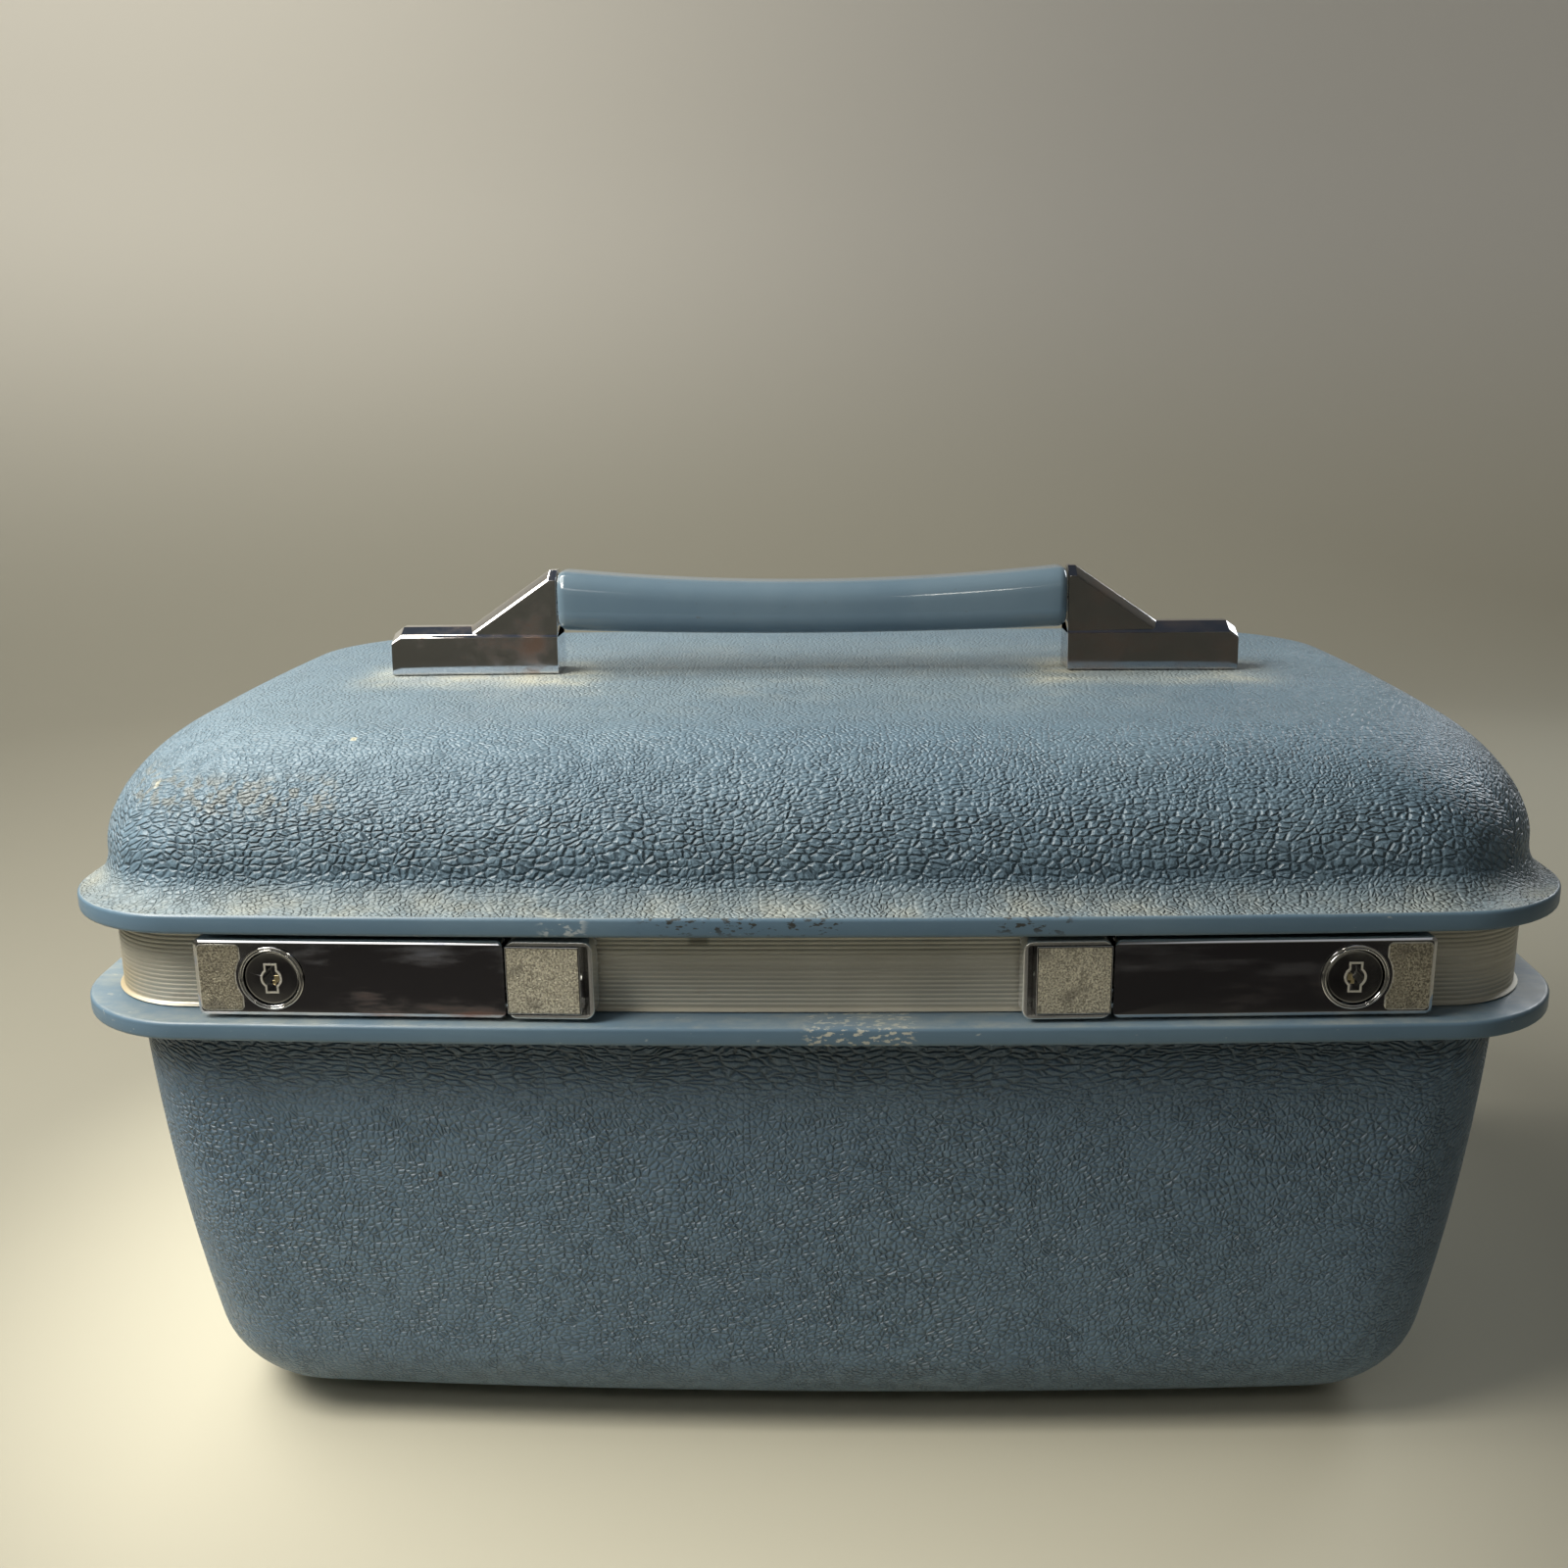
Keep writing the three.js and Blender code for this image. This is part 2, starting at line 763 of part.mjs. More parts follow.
function latchKnuckle(side, centre, width, backOut, frontOut) {
  const hole = circle(pinHoleRadius, -haspAxisOut, -haspAxisDown, smallSides);
  const barrel = circle(knuckleRadius, -haspAxisOut, -haspAxisDown, smallSides);
  const ends = [side * (centre - width / 2), side * (centre + width / 2)].sort((a, b) => a - b);
  const lowZ = -haspAxisDown - knuckleRadius * Math.cos(Math.PI / smallSides);
  const web = latchBox(
    side,
    [centre - width / 2, centre + width / 2],
    [backOut, frontOut],
    [lowZ, -haspAxisDown + knuckleRadius * Math.cos(Math.PI / smallSides)],
  );
  const barrelSolid = prismX(barrel, ...ends);
  const holeSolid = prismX(hole, ends[0] - width, ends[1] + width);
  return web.add(barrelSolid).subtract(holeSolid);
}

const knuckleStep = knuckleWidth + knuckleGap;
const baseKnuckles = [haspEnd - outerKnuckleInset, middleKnuckle, -innerKnuckle];
const haspKnuckles = [
  baseKnuckles[0] - knuckleStep,
  middleKnuckle + knuckleStep,
  middleKnuckle - knuckleStep,
  baseKnuckles[2] + knuckleStep,
];

function latchBase(side) {
  const half = latchHeight / 2;
  const back = seatGap;
  const front = seatGap + latchPlateThickness;
  const plate = latchFace(
    side,
    roundedRectangle(-haspEnd, haspEnd, -half, half, latchCorner),
    back,
    front,
  );
  const ear = alongY(
    latchRivetRadius + seatGap,
    side * latchRivetCentre,
    -latchRivetDrop,
    -front,
    -back,
  );
  const frameEnd = -haspInnerEnd - haspGap;
  const wall = latchFace(
    side,
    roundedRectangle(-haspEnd, frameEnd, -half, half, latchCorner),
    back,
    latchProud,
  );
  const inside = latchFace(
    side,
    roundedRectangle(
      -haspEnd + latchRim,
      frameEnd + 2 * latchRim,
      -half + latchRim,
      half - latchRim,
      latchCorner / 2,
    ),
    front,
    2 * latchProud,
  );
  const knuckles = baseKnuckles.map((u) =>
    latchKnuckle(side, u, knuckleWidth, back + latchRim, haspAxisOut),
  );
  const body = joined([plate, ear, cut(wall, [inside]), ...knuckles]);
  return cut(body, [latchWindow(side), latchRivetHole(side)]);
}

function hasp(side) {
  const half = latchHeight / 2;
  const back = latchProud - haspFaceThickness;
  const rimBack = latchProud - haspRimDepth;
  const ends = [-side * haspInnerEnd, side * haspEnd].sort((a, b) => a - b);
  const profile = [
    [latchProud, haspBevel - half],
    [latchProud, half - haspBevel],
    [latchProud - haspBevel, half],
    [rimBack, half],
    [rimBack, half - haspFaceThickness],
    [back, half - haspFaceThickness],
    [back, haspFaceThickness - half],
    [haspAxisOut + seatGap, haspFaceThickness - half],
    [haspAxisOut + seatGap, -half],
    [latchProud - haspBevel, -half],
  ].map(([out, z]) => [-out, z]);
  const barrel = circle(lockBarrelRadius + seatGap, lockCentre, 0);
  const notches = baseKnuckles.map((u) =>
    latchBox(
      side,
      [u - knuckleWidth / 2 - haspGap, u + knuckleWidth / 2 + haspGap],
      [0, back],
      [-2 * half, haspFaceThickness + seatGap - half],
    ),
  );
  const lockHole = latchFace(side, barrel, 0, 2 * latchProud);
  const face = cut(prismX(profile, ...ends), [lockHole, ...notches]);
  const endRim = latchBox(
    side,
    [haspEnd - latchRim, haspEnd],
    [rimBack + latchRim, back + haspFaceThickness / 2],
    [-half + latchCorner, half - latchCorner],
  );
  const knuckleFront = back + haspFaceThickness / 2;
  const knuckles = haspKnuckles.map((u) =>
    latchKnuckle(side, u, knuckleWidth, haspAxisOut, knuckleFront),
  );
  const hook = latchBox(
    side,
    [-hookWidth / 2, hookWidth / 2],
    [latchProud - hookReach, knuckleFront],
    [hookHeight - hookThickness / 2, hookHeight + hookThickness / 2],
  );
  return joined([face, endRim, hook, ...knuckles]);
}

function haspPin(side) {
  const ends = [side * (baseKnuckles[2] - knuckleWidth / 2), side * (baseKnuckles[0] + knuckleWidth / 2)];
  ends.sort((a, b) => a - b);
  return alongX(haspPinRadius, -haspAxisOut, -haspAxisDown, ...ends);
}

// Leaf spring that pushes the hasp open: a bent strip on the base
function haspSpring(side) {
  const foot = seatGap + latchPlateThickness + seatGap;
  const tip = latchProud - haspFaceThickness - seatGap;
  const end = -hookWidth / 2 - 2 * hookWindowSide;
  const start = end - popSpringLength / 2;
  const bend = end - popSpringLength / 6;
  const top = popSpringWidth / 2;
  const points = [
    [bend, foot],
    [start + popSpringThickness, foot],
    [start + popSpringThickness, foot + popSpringThickness],
    [bend - popSpringThickness, foot + popSpringThickness],
    [end - popSpringThickness, tip],
    [end, tip],
  ].map(([u, out]) => [side * u, -out]);
  return prismZ(points, -top, top);
}

function lockRing(side) {
  const front = latchProud + seatGap;
  const flange = latchFace(
    side,
    circle(lockRingRadius, lockCentre, 0),
    front,
    latchProud + lockRingProud,
  );
  const barrel = latchFace(
    side,
    circle(lockBarrelRadius, lockCentre, 0),
    lockRingBack,
    latchProud + lockRingProud,
  );
  const bore = latchFace(side, circle(lockBoreRadius, lockCentre, 0), 0, 2 * latchProud);
  return flange.add(barrel).subtract(bore);
}

function keyPlug(side) {
  const front = latchProud + lockRingProud - seatGap;
  const plug = latchFace(side, circle(keyPlugRadius, lockCentre, 0), keyPlugBack, front);
  const half = keyholeSlotWidth / 2;
  const round = latchFace(
    side,
    circle(keyholeRadius, lockCentre, 0, smallSides),
    front - keyholeDepth,
    2 * latchProud,
  );
  const slot = latchBox(
    side,
    [lockCentre - half, lockCentre + half],
    [front - keyholeDepth, 2 * latchProud],
    [-keyholeHeight / 2, keyholeHeight / 2],
  );
  return cut(plug, [round.add(slot)]);
}

// Square release button at the inner end of the latch
const buttonStart = -haspEnd + latchRim + buttonTravelGap;
const buttonEnd = -haspInnerEnd - haspGap;

function releaseButton(side) {
  const half = latchHeight / 2 - latchRim - buttonRim;
  const block = latchBox(side, [buttonStart, buttonEnd], [buttonBack, buttonFace], [-half, half]);
  const nose = latchBox(
    side,
    [buttonEnd - catchLength, buttonEnd + catchLength],
    [buttonBack, buttonBack + catchThickness],
    [-catchHeight / 2, catchHeight / 2],
  );
  const pocketRadius = coilRadius + coilWireRadius + seatGap;
  const middle = (buttonBack + buttonFace) / 2;
  const ends = [
    side * (buttonStart - coilLength),
    side * (buttonStart + coilLength + seatGap),
  ].sort((a, b) => a - b);
  const pocket = alongX(pocketRadius, -middle, 0, ...ends);
  return block.add(nose).subtract(pocket);
}

class CoilCurve extends THREE.Curve {
  getPoint(t, target = new THREE.Vector3()) {
    const angle = 2 * Math.PI * coilTurns * t;
    return target.set(coilLength * t, coilRadius * Math.cos(angle), coilRadius * Math.sin(angle));
  }
}

function buttonSpring(side) {
  const section = circle(coilWireRadius, 0, 0, coilWireSides).map(([a, b]) => new THREE.Vector2(a, b));
  const geometry = new THREE.ExtrudeGeometry(new THREE.Shape(section), {
    extrudePath: new CoilCurve(),
    steps: coilTurnSteps * coilTurns,
  });
  if (side < 0) {
    geometry.rotateZ(Math.PI);
  }
  geometry.translate(side * buttonStart, -(buttonBack + buttonFace) / 2, 0);
  return solidOf(geometry);
}

function latchRivet(side) {
  const plateFront = seatGap + latchPlateThickness + seatGap;
  const centre = side * latchRivetCentre;
  const fall = bandFaceAt(latchCentre) - bandFaceAt(latchCentre + latchRivetCentre);
  const tailStart = -(bandThickness + fall);
  const head = alongY(
    latchRivetRadius,
    centre,
    -latchRivetDrop,
    -plateFront - rivetHeadThickness,
    -plateFront,
  );
  const shank = alongY(
    rivetShankRadius,
    centre,
    -latchRivetDrop,
    -plateFront - rivetHeadThickness / 2,
    -tailStart + rivetTailThickness,
  );
  return head.add(shank);
}

// Striker on the lid: a plate behind the tongue with a nose under its edge
function striker(side) {
  const tongueFace = bandThickness + tongueClearance;
  const back = tongueFace + lidStripThickness + seatGap;
  const tongueBottom = lidRimHeight - tongueDepth - latchMiddle;
  const noseTop = tongueBottom - seatGap;
  const half = strikerWidth / 2;
  const plate = latchBox(
    side,
    [-half, half],
    [-back - strikerThickness, -back],
    [noseTop - strikerNose, noseTop + strikerRise],
  );
  const nose = latchBox(side, [-half, half], [-back, -tongueFace], [noseTop - strikerNose, noseTop]);
  return plate.add(nose);
}

// Rear hinges
const hingeAxisY = bandHalfDepth + hingeOut;
const hingeAxisZ = bandMiddle;
const hingeRivetHeight = bandMiddle + leafHeight / 2 - latchRivetRadius - seatGap;

function hingeRivetPlaces(side) {
  return [-1, 1].map((end) => side * hingeCentre + (end * hingeRivetSpacing) / 2);
}

function hingeBodyLeaf(side) {
  const near = hingeCentre - hingeWidth / 2;
  const plateBack = bandFaceAt(near) + seatGap;
  const low = side * hingeCentre - hingeWidth / 2;
  const high = side * hingeCentre + hingeWidth / 2;
  const bottom = hingeAxisZ - leafHeight / 2;
  const top = hingeAxisZ + leafHeight / 2;
  const plate = box([low, plateBack, bottom], [high, plateBack + leafThickness, top]);
  const knuckleLength = hingeWidth * hingeKnuckleShare;
  const curl = [low, high - knuckleLength].map((start) => {
    const barrel = alongX(hingeKnuckleRadius, hingeAxisY, hingeAxisZ, start, start + knuckleLength);
    const flat = hingeKnuckleRadius * Math.cos(Math.PI / smallSides);
    const web = box(
      [start, plateBack, hingeAxisZ - flat],
      [start + knuckleLength, hingeAxisY, hingeAxisZ - flat + leafThickness],
    );
    return barrel.add(web);
  });
  const bore = alongX(hingeHoleRadius, hingeAxisY, hingeAxisZ, low - leafThickness, high + leafThickness);
  const rivetHoles = hingeRivetPlaces(side).map((x) =>
    alongY(rivetHoleRadius, x, hingeRivetHeight, plateBack - leafThickness, halfDepth),
  );
  return cut(joined([plate, ...curl]), [bore, ...rivetHoles]);
}

function hingeLidLeaf(side) {
  const knuckleLength = hingeWidth * hingeKnuckleShare;
  const low = side * hingeCentre - hingeWidth / 2 + knuckleLength + seatGap;
  const high = side * hingeCentre + hingeWidth / 2 - knuckleLength - seatGap;
  const top = lidRimHeight - seatGap;
  const barrel = alongX(hingeKnuckleRadius, hingeAxisY, hingeAxisZ, low, high);
  const web = box(
    [low, hingeAxisY - leafThickness / 2, hingeAxisZ],
    [high, hingeAxisY + leafThickness / 2, top],
  );
  const footPlate = box(
    [side * hingeCentre - lidLeafWidth / 2, hingeAxisY - lidLeafFoot / 2, top - leafThickness],
    [side * hingeCentre + lidLeafWidth / 2, hingeAxisY + lidLeafFoot / 2, top],
  );
  const bore = alongX(hingeHoleRadius, hingeAxisY, hingeAxisZ, low - leafThickness, high + leafThickness);
  return cut(joined([barrel, web, footPlate]), [bore, hingeScrewHole(side)]);
}

function hingePin(side) {
  const low = side * hingeCentre - hingeWidth / 2 - leafThickness;
  return alongX(hingePinRadius, hingeAxisY, hingeAxisZ, low, low + hingeWidth + 2 * leafThickness);
}

function hingeScrewPlace(side) {
  return [side * (hingeCentre + lidLeafWidth / 2 - hingeScrewHeadRadius - seatGap), hingeAxisY];
}

function hingeScrewHole(side) {
  const [x, y] = hingeScrewPlace(side);
  const low = lidRimHeight - seatGap - 2 * leafThickness;
  const hole = circle(hingeScrewRadius + seatGap, x, y, smallSides);
  return prismZ(hole, low, lidRimHeight + hingeScrewDepth + seatGap);
}

function hingeScrew(side) {
  const [x, y] = hingeScrewPlace(side);
  const under = lidRimHeight - 2 * seatGap - leafThickness;
  const head = prismZ(circle(hingeScrewHeadRadius, x, y, smallSides), under - hingeScrewHead, under);
  const shank = prismZ(
    circle(hingeScrewRadius, x, y, smallSides),
    under - hingeScrewHead / 2,
    lidRimHeight + hingeScrewDepth,
  );
  return head.add(shank);
}

function hingeRivet(x) {
  const near = hingeCentre - hingeWidth / 2;
  const headStart = bandFaceAt(near) + leafThickness + 2 * seatGap;
  const tail = bandFaceAt(x) - bandThickness;
  const head = alongY(latchRivetRadius, x, hingeRivetHeight, headStart, headStart + rivetHeadThickness);
  const shank = alongY(rivetShankRadius, x, hingeRivetHeight, tail, headStart + rivetHeadThickness / 2);
  return head.add(shank);
}

// Folding stay
const bodyPivot = pivotAt(Math.PI + stayHalfAngle);
const lidPivot = pivotAt(Math.PI - stayHalfAngle);
const kneePivot = [bodyPivot[0] + lidPivot[0] - hingeAxisY, bodyPivot[1] + lidPivot[1] - hingeAxisZ];

function pivotAt(angle) {
  return [hingeAxisY + stayRadius * Math.cos(angle), hingeAxisZ + stayRadius * Math.sin(angle)];
}

// Inner faces of the skirt and of the lid's strip at the right side, at a given y
function sideFaceAt(reach, y) {
  return reach - sideBow * (y / bodyHalfDepth) ** 2;
}
const skirtFace = bodyHalfWidth - shellWall - skirtGap - skirtThickness;
const stripFace = bandHalfWidth - bandThickness - tongueClearance - lidStripThickness;
const lowerLinkOuter = sideFaceAt(skirtFace, bodyPivot[0]) - stayGap - stayHeadThickness - stayGap;
const lowerLinkInner = lowerLinkOuter - stayThickness;
const upperLinkOuter = lowerLinkInner - stayGap;
const upperLinkInner = upperLinkOuter - stayThickness;

function stayLink(from, to, low, high) {
  const direction = Math.atan2(to[1] - from[1], to[0] - from[0]);
  const half = stayWidth / 2;
  const points = [];
  [
    [from, direction + Math.PI / 2],
    [to, direction - Math.PI / 2],
  ].forEach(([centre, start]) => {
    for (let i = 0; i <= filletSteps + 1; i += 1) {
      const angle = start + (i / (filletSteps + 1)) * Math.PI;
      points.push([centre[0] + half * Math.cos(angle), centre[1] + half * Math.sin(angle)]);
    }
  });
  return prismX(points, low, high);
}

function stayLowerLink() {
  const link = stayLink(bodyPivot, kneePivot, lowerLinkInner, lowerLinkOuter);
  const holes = [bodyPivot, kneePivot].map(([y, z]) => alongX(stayHoleRadius, y, z, 0, halfWidth));
  return cut(link, holes);
}

function stayUpperLink() {
  const link = stayLink(lidPivot, kneePivot, upperLinkInner, upperLinkOuter);
  const holes = [lidPivot, kneePivot].map(([y, z]) => alongX(stayHoleRadius, y, z, 0, halfWidth));
  return cut(link, holes);
}

function stayBodyStud() {
  const face = sideFaceAt(skirtFace, bodyPivot[0]);
  const shank = alongX(stayStudRadius, ...bodyPivot, lowerLinkInner, face - stayGap);
  const base = alongX(stayBaseRadius, ...bodyPivot, lowerLinkOuter + stayGap, face - stayGap);
  return shank.add(base);
}

function stayLidStud() {
  const wall = sideFaceAt(stripFace, lidPivot[0]) - stayGap;
  const headBase = upperLinkInner - stayGap;
  const shank = alongX(stayStudRadius, ...lidPivot, headBase - stayHeadThickness / 2, wall);
  const base = alongX(stayBaseRadius, ...lidPivot, lowerLinkOuter + stayGap, wall);
  const spacer = alongX(stayHeadRadius, ...lidPivot, upperLinkOuter + stayGap, wall);
  const head = alongX(stayHeadRadius, ...lidPivot, headBase - stayHeadThickness, headBase);
  return joined([shank, base, spacer, head]);
}

function stayKneeRivet() {
  const [y, z] = kneePivot;
  const shank = alongX(stayStudRadius, y, z, upperLinkInner - stayGap, lowerLinkOuter + stayGap);
  const innerFace = upperLinkInner - stayGap;
  const outerFace = lowerLinkOuter + stayGap;
  const inner = alongX(stayHeadRadius, y, z, innerFace - stayHeadThickness, innerFace);
  const outer = alongX(stayHeadRadius, y, z, outerFace, outerFace + stayHeadThickness / 2);
  return joined([shank, inner, outer]);
}

// Tray: an open box with compartments
const trayTop = bodyRimHeight - trayTopBelowRim;
const trayBottom = trayTop - trayHeight;

function tray() {
  const outline = (inset, steps) =>
    roundedRectangle(
      -trayHalfWidth + inset,
      trayHalfWidth - inset,
      -trayHalfDepth + inset,
      trayHalfDepth - inset,
      trayCornerRadius - inset,
      steps,
    );
  const block = prismZ(outline(0, 5), trayBottom, trayTop);
  const floor = trayBottom + trayWall;
  const inner = prismZ(outline(trayWall, 5), floor, trayTop + trayHeight);
  const split = -trayHalfDepth + 2 * trayHalfDepth * trayFrontShare;
  const third = (2 * trayHalfWidth) / 3;
  const ribs = [
    box([-trayHalfWidth, split - trayRib / 2, floor], [trayHalfWidth, split + trayRib / 2, trayTop]),
    box([-third / 2 - trayRib / 2, -trayHalfDepth, floor], [-third / 2 + trayRib / 2, split, trayTop]),
    box([third / 2 - trayRib / 2, -trayHalfDepth, floor], [third / 2 + trayRib / 2, split, trayTop]),
    box([third / 2 - trayRib / 2, split, floor], [third / 2 + trayRib / 2, trayHalfDepth, trayTop]),
  ];
  return block.subtract(cut(inner, ribs));
}

// Ledges that carry the tray, against the lining of the side walls
function trayLedge(side) {
  const top = trayBottom - seatGap;
  const inside = shellWall + liningGap + bodyLiningThickness + seatGap + sideBow;
  const wallAt = (height) => bodyHalfWidth - bodyInset(height) - inside + sideBow * edgeShare();
  const rise = top + ledgeRise;
  const low = top - ledgeRise;
  const points = [
    [wallAt(rise), rise],
    [wallAt(low), low],
    [wallAt(low) - ledgeThickness, low],
    [wallAt(top) - ledgeReach, top - ledgeThickness],
    [wallAt(top) - ledgeReach, top],
    [wallAt(top) - ledgeThickness, top],
    [wallAt(rise) - ledgeThickness, rise],
  ].map(([x, z]) => [side * x, z]);
  return prismY(points, -ledgeLength / 2, ledgeLength / 2);
}

// Share of the side's bow that is left at the ends of the ledges
function edgeShare() {
  return 1 - (ledgeLength / 2 / bodyHalfDepth) ** 2;
}

// Handle
function bracketScrewPlaces() {
  const inner = bracketStart + bracketScrewEnds;
  const outer = bracketEnd - bracketScrewEnds;
  return [-outer, -inner, inner, outer];
}

function bracketSection(x, base, top) {
  const half = bracketDepth / 2;
  const points = [
    [-half, base],
    [half, base],
    [half, top],
    [half - bracketBevel, top + bracketCrown],
    [-half + bracketBevel, top + bracketCrown],
    [-half, top],
  ];
  return points.map(([y, z]) => new THREE.Vector3(x, y, z));
}

function bracket(side) {
  const base = (x) => lidSurfaceAt(x) + seatGap;
  const shoulder = base(bracketStart) + bracketBlock;
  const apex = base(bracketStart) + bracketApex;
  const block = loft(
    [
      [bracketStart, apex],
      [bracketStart + bracketCrest, apex],
      [bracketStart + bracketRampFoot, shoulder],
      [bracketEnd - bracketBevel, shoulder],
      [bracketEnd, shoulder - bracketCrown],
    ].map(([x, top]) => bracketSection(side * x, base(x), top)),
  );
  const slot = box(
    [
      Math.min(side * (bracketStart - seatGap), side * (coreHalfLength + coreClearance)),
      -coreDepth / 2 - coreClearance,
      coreMiddle() - coreThickness / 2 - coreClearance,
    ],
    [
      Math.max(side * (bracketStart - seatGap), side * (coreHalfLength + coreClearance)),
      coreDepth / 2 + coreClearance,
      coreMiddle() + coreThickness / 2 + coreClearance,
    ],
  );
  const screws = bracketScrewPlaces().map((x) =>
    prismZ(circle(bracketScrewHole, x, 0, smallSides), 0, base(x) + bracketScrewDepth + seatGap),
  );
  return cut(block, [slot, ...screws]);
}

function gripTop() {
  return lidSurfaceAt(bracketStart) + seatGap + bracketApex + gripRise;
}

function coreMiddle() {
  return gripTop() - gripSag - (gripHeight + gripUnderSag - gripSag) / 2;
}

// The grip: sections along x, sagging in the middle, with a slot for the steel core
function gripSection(x, trim) {
  const sagShare = 1 - (x / gripHalfLength) ** 2;
  const top = gripTop() - gripSag * sagShare - trim / 2;
  const bottom = gripTop() - gripHeight - gripUnderSag * sagShare + trim / 2;
  const half = gripDepth / 2 - trim;
  const points = roundedRectangle(-half, half, bottom, top, gripCorner - trim / 2);
  return points.map(([y, z]) => new THREE.Vector3(x, y, z));
}

function handleGrip() {
  const inner = gripHalfLength - gripEndRound;
  const sections = [gripSection(-gripHalfLength, gripEndRound)];
  for (let i = 0; i <= gripSteps; i += 1) {
    sections.push(gripSection(inner * ((2 * i) / gripSteps - 1), 0));
  }
  sections.push(gripSection(gripHalfLength, gripEndRound));
  const slotWidth = coreDepth + 2 * coreClearance;
  const slotHeight = coreThickness + 2 * coreClearance;
  const slot = box(
    [-2 * gripHalfLength, -slotWidth / 2, coreMiddle() - slotHeight / 2],
    [2 * gripHalfLength, slotWidth / 2, coreMiddle() + slotHeight / 2],
  );
  return loft(sections).subtract(slot);
}

function handleCore() {
  return box(
    [-coreHalfLength, -coreDepth / 2, coreMiddle() - coreThickness / 2],
    [coreHalfLength, coreDepth / 2, coreMiddle() + coreThickness / 2],
  );
}

function handleScrew(x) {
  const inner = lidSurfaceAt(x) - shellWall - seatGap;
  const head = prismZ(
    circle(bracketScrewHead, x, 0, smallSides),
    inner - bracketScrewHeadThickness,
    inner - seatGap,
  );
  const shank = prismZ(
    circle(bracketScrewRadius, x, 0, smallSides),
    inner - bracketScrewHeadThickness / 2,
    lidSurfaceAt(x) + bracketScrewDepth,
  );
  return head.add(shank);
}

// The assembly
const cosmeticCase = new THREE.Group();
const body = new THREE.Group();
const lid = new THREE.Group();
cosmeticCase.add(body, lid);

placeMesh(body, 'body_shell', bodyShell(), materials.shell);
placeMesh(body, 'body_frame', bodyFrame(), materials.band);
placeMesh(body, 'body_lining', bodyLining(), materials.lining);
placeMesh(body, 'tray', tray(), materials.tray);
placeMesh(lid, 'lid_shell', lidShell(), materials.shell);
placeMesh(lid, 'lid_frame', lidFrame(), materials.band);
placeMesh(lid, 'lid_lining', lidLining(), materials.lining);
placeMesh(lid, 'lid_mirror', lidMirror(), materials.mirror);
placeMesh(lid, 'handle_grip', handleGrip(), materials.grip);
placeMesh(lid, 'handle_core', handleCore(), materials.steel);
placeMesh(body, 'stay_body_stud', stayBodyStud(), materials.steel);
placeMesh(body, 'stay_lower_link', stayLowerLink(), materials.steel);
placeMesh(body, 'stay_knee_rivet', stayKneeRivet(), materials.steel);
placeMesh(lid, 'stay_upper_link', stayUpperLink(), materials.steel);
placeMesh(lid, 'stay_lid_stud', stayLidStud(), materials.steel);

const footNames = ['foot_front_left', 'foot_front_right', 'foot_rear_left', 'foot_rear_right'];
footPlaces().forEach(([x, y], index) => {
  placeMesh(body, footNames[index], foot(x, y), materials.rubber);
});

const screwNames = ['left_outer', 'left_inner', 'right_inner', 'right_outer'];
bracketScrewPlaces().forEach((x, index) => {
  placeMesh(lid, 'handle_screw_' + screwNames[index], handleScrew(x), materials.steel);
});

for (const [word, side] of [
  ['left', -1],
  ['right', 1],
]) {
  const latch = new THREE.Group();
  latch.applyMatrix4(new THREE.Matrix4().fromArray(latchPlacement(side)));
  cosmeticCase.add(latch);
  placeMesh(latch, 'latch_base_' + word, latchBase(side), materials.chrome);
  placeMesh(latch, 'hasp_' + word, hasp(side), materials.chrome);
  placeMesh(latch, 'hasp_pin_' + word, haspPin(side), materials.steel);
  placeMesh(latch, 'hasp_spring_' + word, haspSpring(side), materials.steel);
  placeMesh(latch, 'lock_ring_' + word, lockRing(side), materials.chrome);
  placeMesh(latch, 'key_plug_' + word, keyPlug(side), materials.chrome);
  placeMesh(latch, 'release_button_' + word, releaseButton(side), materials.pewter);
  placeMesh(latch, 'button_spring_' + word, buttonSpring(side), materials.steel);
  placeMesh(latch, 'latch_rivet_' + word, latchRivet(side), materials.rivet);
  placeMesh(latch, 'striker_' + word, striker(side), materials.steel);
  placeMesh(body, 'hinge_body_leaf_' + word, hingeBodyLeaf(side), materials.steel);
  placeMesh(lid, 'hinge_lid_leaf_' + word, hingeLidLeaf(side), materials.steel);
  placeMesh(body, 'hinge_pin_' + word, hingePin(side), materials.steel);
  placeMesh(lid, 'hinge_screw_' + word, hingeScrew(side), materials.steel);
  const rivetPlaces = hingeRivetPlaces(side);
  placeMesh(body, 'hinge_rivet_' + word + '_a', hingeRivet(rivetPlaces[0]), materials.rivet);
  placeMesh(body, 'hinge_rivet_' + word + '_b', hingeRivet(rivetPlaces[1]), materials.rivet);
  placeMesh(body, 'tray_ledge_' + word, trayLedge(side), materials.tray);
  placeMesh(lid, 'handle_bracket_' + word, bracket(side), materials.chrome);
}

export default cosmeticCase;
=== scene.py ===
import json
import math

import bmesh
import bpy
from mathutils import Matrix, Vector, noise

